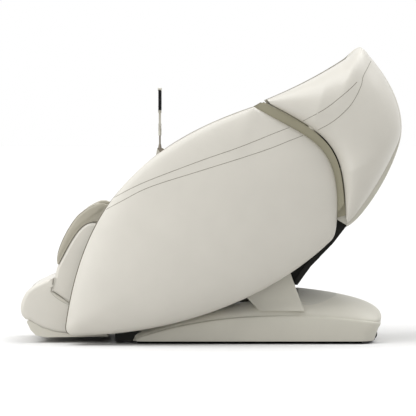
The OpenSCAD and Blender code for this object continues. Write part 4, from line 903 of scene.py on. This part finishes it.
def makePlates():
    for side, word in sides:
        for name, look in plates.items():
            near, far = look["x"]
            outline = look.get("outline") or [onPlane(px, py, far) for px, py in look["pixels"]]
            mesh = slabMesh(outline, side * near, side * far)
            finishPiece(name + word, mesh, look["finish"], look["body"], 30)


makeEdgeShadeLine()
makeFootTrim()
makePlates()
print("trim made")

# pin lines, drawn where they are seen from the camera: picture pixels over the near side
pinLook = {"width": 2.3, "proud": 0.35, "sunk": 0.2, "crown": 0.8, "bandWidth": 11, "cuffWidth": 3}
pinLines = {
    "shellUpper": [(110, 200), (128, 190), (150, 180), (200, 161), (240, 147), (270, 135), (291, 126.8)],
    "shellLower": [(106, 209.5), (120, 202), (150, 187), (200, 171), (240, 158.5), (270, 148.5),
                   (290, 140.5), (303, 135.5)],
    "hoodUpper": [(303, 121), (320, 112), (330, 105.5), (340, 97.5), (350, 89), (357, 82)],
    "hoodLower": [(318, 130), (330, 123.5), (340, 116), (350, 106), (357, 95), (361.5, 84.5), (363, 77),
                  (367, 69), (371, 61)],
    "cuffMiddle": [(52.6, 290.8), (55.6, 294.6), (61.6, 298.9), (66, 301.2), (72, 303)],
    "cuffLower": [(50.6, 291.4), (54.6, 296.3), (60.8, 300.8), (66, 303.5), (72, 305.5)],
}


def ribbonOn(tree, pixels, width):
    spots = []
    for px, py in softLine(pixels, 10):
        start, ahead = throughPixel(px, py)
        place, normal, index, reach = tree.ray_cast(start, ahead)
        if place is None:
            continue
        if normal.dot(ahead) > 0:
            normal = -normal
        spots.append((place, normal))
    verts = []
    for i, (place, normal) in enumerate(spots):
        before, after = neighbours(spots, i)
        across = (after[0] - before[0]).cross(normal).normalized() * width * mm / 2
        low = place - normal * mm * pinLook["sunk"]
        high = place + normal * pinLook["proud"] * mm
        inner = across * pinLook["crown"]
        verts += [low - across, high - inner, high + inner, low + across]
    return verts, ringFaces(4, len(spots))


def makePinLines(shell, lines, body, finish="pinLine", width=pinLook["width"]):
    tree = treeOf(shell.data)
    for key in lines:
        makePair(key, *ribbonOn(tree, pinLines[key], width), finish, body, 60, 1)


makePinLines(shells["sideShellLeft"], ("shellUpper", "shellLower"), "seat")
makePinLines(shells["shoulderShellLeft"], ("hoodUpper", "hoodLower"), "back")
print("pin lines drawn")

# soft goods: each starts from its solid, is sewn in, then filled by a cloth simulation


def direction(lean, forward, up):  # from a frame leaning back by that angle
    c, s = math.cos(lean), math.sin(lean)
    return Vector((0, forward * c + up * s, up * c - forward * s))


backLean = math.radians(32)
backAhead = direction(backLean, -1, 0)
backUp = direction(backLean, 0, 1)
calfAhead = direction(legLean, -1, 0)
calfUp = direction(legLean, 0, 1)
backFoot = Vector((0, 0.2, 0.43))


def alongX(*places):  # seams that run fore and aft
    return [((x, 0, 0), (1, 0, 0), None) for x in places]


def alongY(*places, half=None):  # seams that run across a seat or an arm
    return [((0, y, 0), (0, 1, 0), half) for y in places]


def upBack(*reaches, half=None):  # seams that run across the back
    return [(tuple(backFoot + backUp * reach), tuple(backUp), half) for reach in reaches]


# seams: (point, normal of the seam's plane, half length along x or None)
cushions = {
    "seatCushion": {
        "node": "seat_cushion", "body": "seat", "face": Vector((0, -0.1, 1)), "grow": 0.006, "depth": 0.011,
        "seams": alongX(0.165, -0.165) + alongY(-0.25, -0.13, -0.01, half=0.165), "fill": 0.7},
    "backCushion": {
        "node": "back_cushion", "body": "back", "face": backAhead, "grow": 0.004, "depth": 0.01,
        "seams": alongX(0.142, -0.142) + upBack(0.2, 0.32, 0.44, 0.56, 0.68, half=0.142), "fill": 0.6},
    "headPillow": {
        "node": "head_pillow", "body": "back", "face": backAhead, "grow": 0.004, "depth": 0.008,
        "seams": alongX(0.072, -0.072), "fill": 0.8},
    "armCushion": {
        "node": "arm_cushion_left", "twin": "arm_cushion_right", "body": "seat",
        "face": Vector((-0.5, -0.2, 1)), "grow": 0, "depth": 0.005,
        "seams": alongY(-0.25, -0.1), "fill": 0.7},
    "shoulderPad": {
        "node": "shoulder_pad_left", "twin": "shoulder_pad_right", "body": "back",
        "face": Vector((-1, 0, 0)), "grow": 0.002, "depth": 0.004, "seams": upBack(0.556), "fill": 0.8},
    "calfPad": {
        "node": "calf_pad", "body": "legrest", "face": calfAhead, "grow": 0.002, "depth": 0.006,
        "seams": alongX(-0.176, -0.02, 0.02, 0.176), "fill": 0.7,
        "lowered": (0.54, 0.05, 0.011)},  # from this height, over this rise, by this much
    "footPad": {
        "node": "foot_pad", "body": "foot", "face": calfUp, "grow": 0, "depth": 0.003,
        "seams": [], "fill": 0.7},
}
puffing = {
    "voxel": 0.006, "shrink": 0.004, "backShrink": 0.0005, "cap": 0.024, "frames": 20, "seamHalf": 0.009,
    "front": 0.1, "back": -0.5, "sewn": 0.75, "seamSlope": 1.6,
}
clothLook = {
    "quality": 5, "mass": 0.2, "tension_stiffness": 15, "compression_stiffness": 15,
    "shear_stiffness": 10, "bending_stiffness": 0.5, "use_pressure": True, "uniform_pressure_force": 4,
    "vertex_group_mass": "held",
}


def weldedMesh(node):
    mesh = nodes[node].data.copy()
    shape = bmesh.new()
    shape.from_mesh(mesh)
    bmesh.ops.remove_doubles(shape, verts=shape.verts, dist=0.00003)
    bmesh.ops.dissolve_degenerate(shape, edges=shape.edges, dist=0.00001)
    shape.to_mesh(mesh)
    shape.free()
    if "custom_normal" in mesh.attributes:
        mesh.attributes.remove(mesh.attributes["custom_normal"])
    return mesh


def remeshed(name, node):
    rough = placed(name + "Rough", weldedMesh(node))
    step = rough.modifiers.new("voxels", "REMESH")
    step.mode = "VOXEL"
    step.voxel_size = puffing["voxel"]
    fine = settledMesh(rough)
    bpy.data.objects.remove(rough)
    return fine


def sewnIn(mesh, look):  # pulls the seams in and says which points the sewing and the backing hold
    p = puffing
    face = look["face"].normalized()
    held = []
    normals = [v.normal.copy() for v in mesh.vertices]
    for v, n in zip(mesh.vertices, normals):
        ahead = n.dot(face)
        pull = p["shrink"] if ahead > p["back"] else p["backShrink"]
        sewn = 0.0
        if ahead > p["front"]:
            for point, axis, length in look["seams"]:
                if length is None or abs(v.co.x) < length:
                    off = abs((v.co - Vector(point)).dot(Vector(axis)))
                    sewn = max(sewn, math.exp(-(off / p["seamHalf"]) ** 2))
        v.co -= n * (pull + look["depth"] * sewn * min(1, max(ahead, 0) * p["seamSlope"]))
        if ahead < p["back"] or sewn > p["sewn"]:
            held.append(v.index)
    return held


def startCushion(name, look):
    solid = weldedMesh(look["node"])
    mesh = remeshed(name, look["node"])
    held = sewnIn(mesh, look)
    piece = finishPiece(name, mesh, "leather", look["body"], 180)
    start = [v.co.copy() for v in mesh.vertices]
    piece.vertex_groups.new(name="held").add(held, 1, "REPLACE")
    cloth = piece.modifiers.new("cloth", "CLOTH")
    for key, value in clothLook.items():
        setattr(cloth.settings, key, value)
    cloth.settings.effector_weights.gravity = 0
    cloth.collision_settings.use_collision = False
    cloth.point_cache.frame_end = puffing["frames"]
    return {"name": name, "look": look, "piece": piece, "tree": treeOf(solid), "start": start}


def fillCushions(works):
    for step in range(1, puffing["frames"] + 1):
        scene.frame_set(step)
    graph = bpy.context.evaluated_depsgraph_get()
    for work in works:
        piece = work["piece"]
        filled = piece.evaluated_get(graph).to_mesh()
        work["filled"] = [v.co.copy() for v in filled.vertices]
    for work in works:
        work["piece"].modifiers.clear()
        work["piece"].vertex_groups.clear()
    scene.frame_set(1)


def settleCushion(work):  # keeps the filled cover in its room, then smooths it
    piece, look = work["piece"], work["look"]
    mesh = piece.data
    face = look["face"].normalized()
    for v, start, end in zip(mesh.vertices, work["start"], work.get("filled", work["start"])):
        move = end - start
        if move.length > puffing["cap"]:
            move *= puffing["cap"] / move.length
        spot = start + move
        near, normal, index, reach = work["tree"].find_nearest(spot)
        out = (spot - near).dot(normal)
        room = look["grow"] if normal.dot(face) > 0.5 else -puffing["backShrink"]
        if out > room:
            spot = spot - normal * (out - room)
        if "lowered" in look:
            level, rise, drop = look["lowered"]
            spot.z -= drop * min(1, max(0, spot.z - level) / rise)
        v.co = spot
    mesh.update()
    fine = piece.modifiers.new("smoother", "SUBSURF")
    fine.levels = 1
    fine.render_levels = 1


def twinPiece(piece, name):  # mirrored copy for the sitter's right
    mesh = piece.data.copy()
    mesh.transform(Matrix.Diagonal((-1, 1, 1, 1)))
    mesh.flip_normals()
    twin = placed(name, mesh)
    for step in piece.modifiers:
        fine = twin.modifiers.new(step.name, "SUBSURF")
        fine.levels = step.levels
        fine.render_levels = step.render_levels
    return twin


def cutLoop(mesh, point, normal):  # longest line where a plane meets the surface
    shape = bmesh.new()
    shape.from_mesh(mesh)
    parts = shape.verts[:] + shape.edges[:] + shape.faces[:]
    cut = bmesh.ops.bisect_plane(shape, geom=parts, plane_co=point, plane_no=normal)["geom_cut"]
    links = {}
    for edge in cut:
        if isinstance(edge, bmesh.types.BMEdge):
            a, b = edge.verts
            links.setdefault(a, []).append(b)
            links.setdefault(b, []).append(a)
    best, seen = [], set()
    for start in links:
        loop, spot = [], start
        while spot and spot not in seen:
            loop.append(spot)
            seen.add(spot)
            spot = next((v for v in links[spot] if v not in seen), None)
        best = max(best, loop, key=len)
    points = [v.co.copy() for v in best]
    shape.free()
    return points


def easedLoop(points, step=3, rounds=3):
    line = points[::step]
    n = len(line)
    for turn in range(rounds):
        line = [(line[i - 1] + line[i] * 2 + line[(i + 1) % n]) / 4 for i in range(n)]
    return line


def makePiping(name, piece, point, normal, radius, body, finish="leather"):
    line = easedLoop(cutLoop(piece.data, point, normal))
    makePiece(name, *tubeMesh(line, radius, 8, True), finish, body, 60, 1)


works = [startCushion(name, look) for name, look in cushions.items()]
print("cushions sewn")
fillCushions(works)
for work in works:
    settleCushion(work)
    look, name = work["look"], work["name"]
    if "twin" in look:
        twin = twinPiece(work["piece"], name + "Right")
        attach(twin, look["body"])
        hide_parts(look["twin"])
    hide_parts(look["node"])
made = {work["name"]: work["piece"] for work in works}
piping = {"calfX": 0.2065, "calf": 0.0016, "pillow": 0.002}
# the calf pad's piping is coloured dark: painted shade of the crease beside it
for side, word in sides:
    place = (side * piping["calfX"], 0, 0)
    makePiping("calfPipingShaded" + word, made["calfPad"], place, (1, 0, 0), piping["calf"], "legrest",
               "seamDark")
pillow = made["headPillow"]
pillowMiddle = sum((Vector(corner) for corner in pillow.bound_box), Vector()) / 8
makePiping("pillowPiping", pillow, pillowMiddle, backAhead, piping["pillow"], "back")
print("cushions filled")

# moulded pieces whose facets are rounded into one smooth skin
smoothSharp = 35
smoothPieces = {
    "calfShell": ("calf_shell", "shellGloss", "legrest"),
    "footShell": ("foot_shell", "shellGloss", "foot"),
    "sideLinerLeft": ("side_liner_left", "linerMatte", "seat"),
    "sideLinerRight": ("side_liner_right", "linerMatte", "seat"),
    "backLinerLeft": ("back_liner_left", "linerMatte", "back"),
    "backLinerRight": ("back_liner_right", "linerMatte", "back"),
}
smoothed = {}
for name, (node, finish, body) in smoothPieces.items():
    mesh = weldedMesh(node)
    if name == "footShell":
        for v in mesh.vertices:
            y, z = inLeg(*sunkToe(*fromLeg(v.co.y / mm, v.co.z / mm)))
            v.co = (v.co.x, y * mm, z * mm)
    piece = smoothed[name] = finishPiece(name, mesh, finish, body, smoothSharp, node)
    even = piece.modifiers.new("evenNormals", "WEIGHTED_NORMAL")
    even.keep_sharp = True
makePinLines(smoothed["footShell"], ("cuffMiddle",), "foot", "cuffBand", pinLook["bandWidth"])
makePinLines(smoothed["footShell"], ("cuffLower",), "foot", "cuffLine", pinLook["cuffWidth"])
print("moulded pieces smoothed")

# tablet: screen, cap and slots in millimetres; the neck and the pole's foot below these levels in metres
tabletLook = {
    "x": -296, "faceY": -218, "backY": -232, "screen": (150, 84, 0.6), "screenZ": 1031,
    "capLow": 1073, "capTop": 1085.6, "capWide": 160.8, "capOver": 1.6,
    "slot": (16, 2.2, 0.6), "slotStep": 22, "slotZ": 1003, "slotProud": 0.1,
    "neckTop": 0.985, "poleFoot": 0.806,
}


def roundedSlab(name, middle, size, corner, finish, bevel=0.4):  # size along X, Z and Y
    wide, high, deep = size
    outline = []
    for cx, cz, start in ((1, 1, 0), (-1, 1, 90), (-1, -1, 180), (1, -1, 270)):
        for k in range(7):
            a = math.radians(start + 15 * k)
            x = cx * (wide / 2 - corner) + corner * math.cos(a)
            outline.append((x, cz * (high / 2 - corner) + corner * math.sin(a)))
    rings = [(-deep / 2, bevel), (-deep / 2 + bevel, 0), (deep / 2 - bevel, 0), (deep / 2, bevel)]
    verts = []
    for y, d in rings:
        share = 1 - 2 * d / min(wide, high)
        verts += [(middle[0] + x * share, middle[1] + y, middle[2] + z * share) for x, z in outline]
    makePiece(name, verts, ringFaces(len(outline), len(rings)), finish, "tablet", 30)


def makeTabletLook():
    t = tabletLook
    x, face, back = t["x"], t["faceY"], t["backY"]
    place = (x, face + t["screen"][2] / 2, t["screenZ"])
    roundedSlab("tabletScreen", place, t["screen"], 4, "screenGloss", 0.2)
    size = (t["capWide"], t["capTop"] - t["capLow"], face - back + t["capOver"])
    place = (x, (face + back) / 2, (t["capTop"] + t["capLow"]) / 2)
    roundedSlab("tabletCap", place, size, 5, "creamPlastic")
    for k in (-1, 0, 1):
        place = (x + t["slotStep"] * k, back - t["slotProud"], t["slotZ"])
        roundedSlab("tabletSlot" + str(k + 1), place, t["slot"], 1, "greyMetal", 0.1)


def twoToned(name, node, body, level, upper, lower):  # faces below the level get the lower finish
    piece = finishPiece(name, weldedMesh(node), upper, body, 30, node)
    piece.data.materials.append(materials[lower])
    for face in piece.data.polygons:
        if face.center.z < level:
            face.material_index = 1


makeTabletLook()
twoToned("tabletBody", "tablet", "tablet", tabletLook["neckTop"], "screenGloss", "creamPlastic")
twoToned("tabletPole", "tablet_post", "seat", tabletLook["poleFoot"], "postGrey", "creamPlastic")
print("tablet dressed")
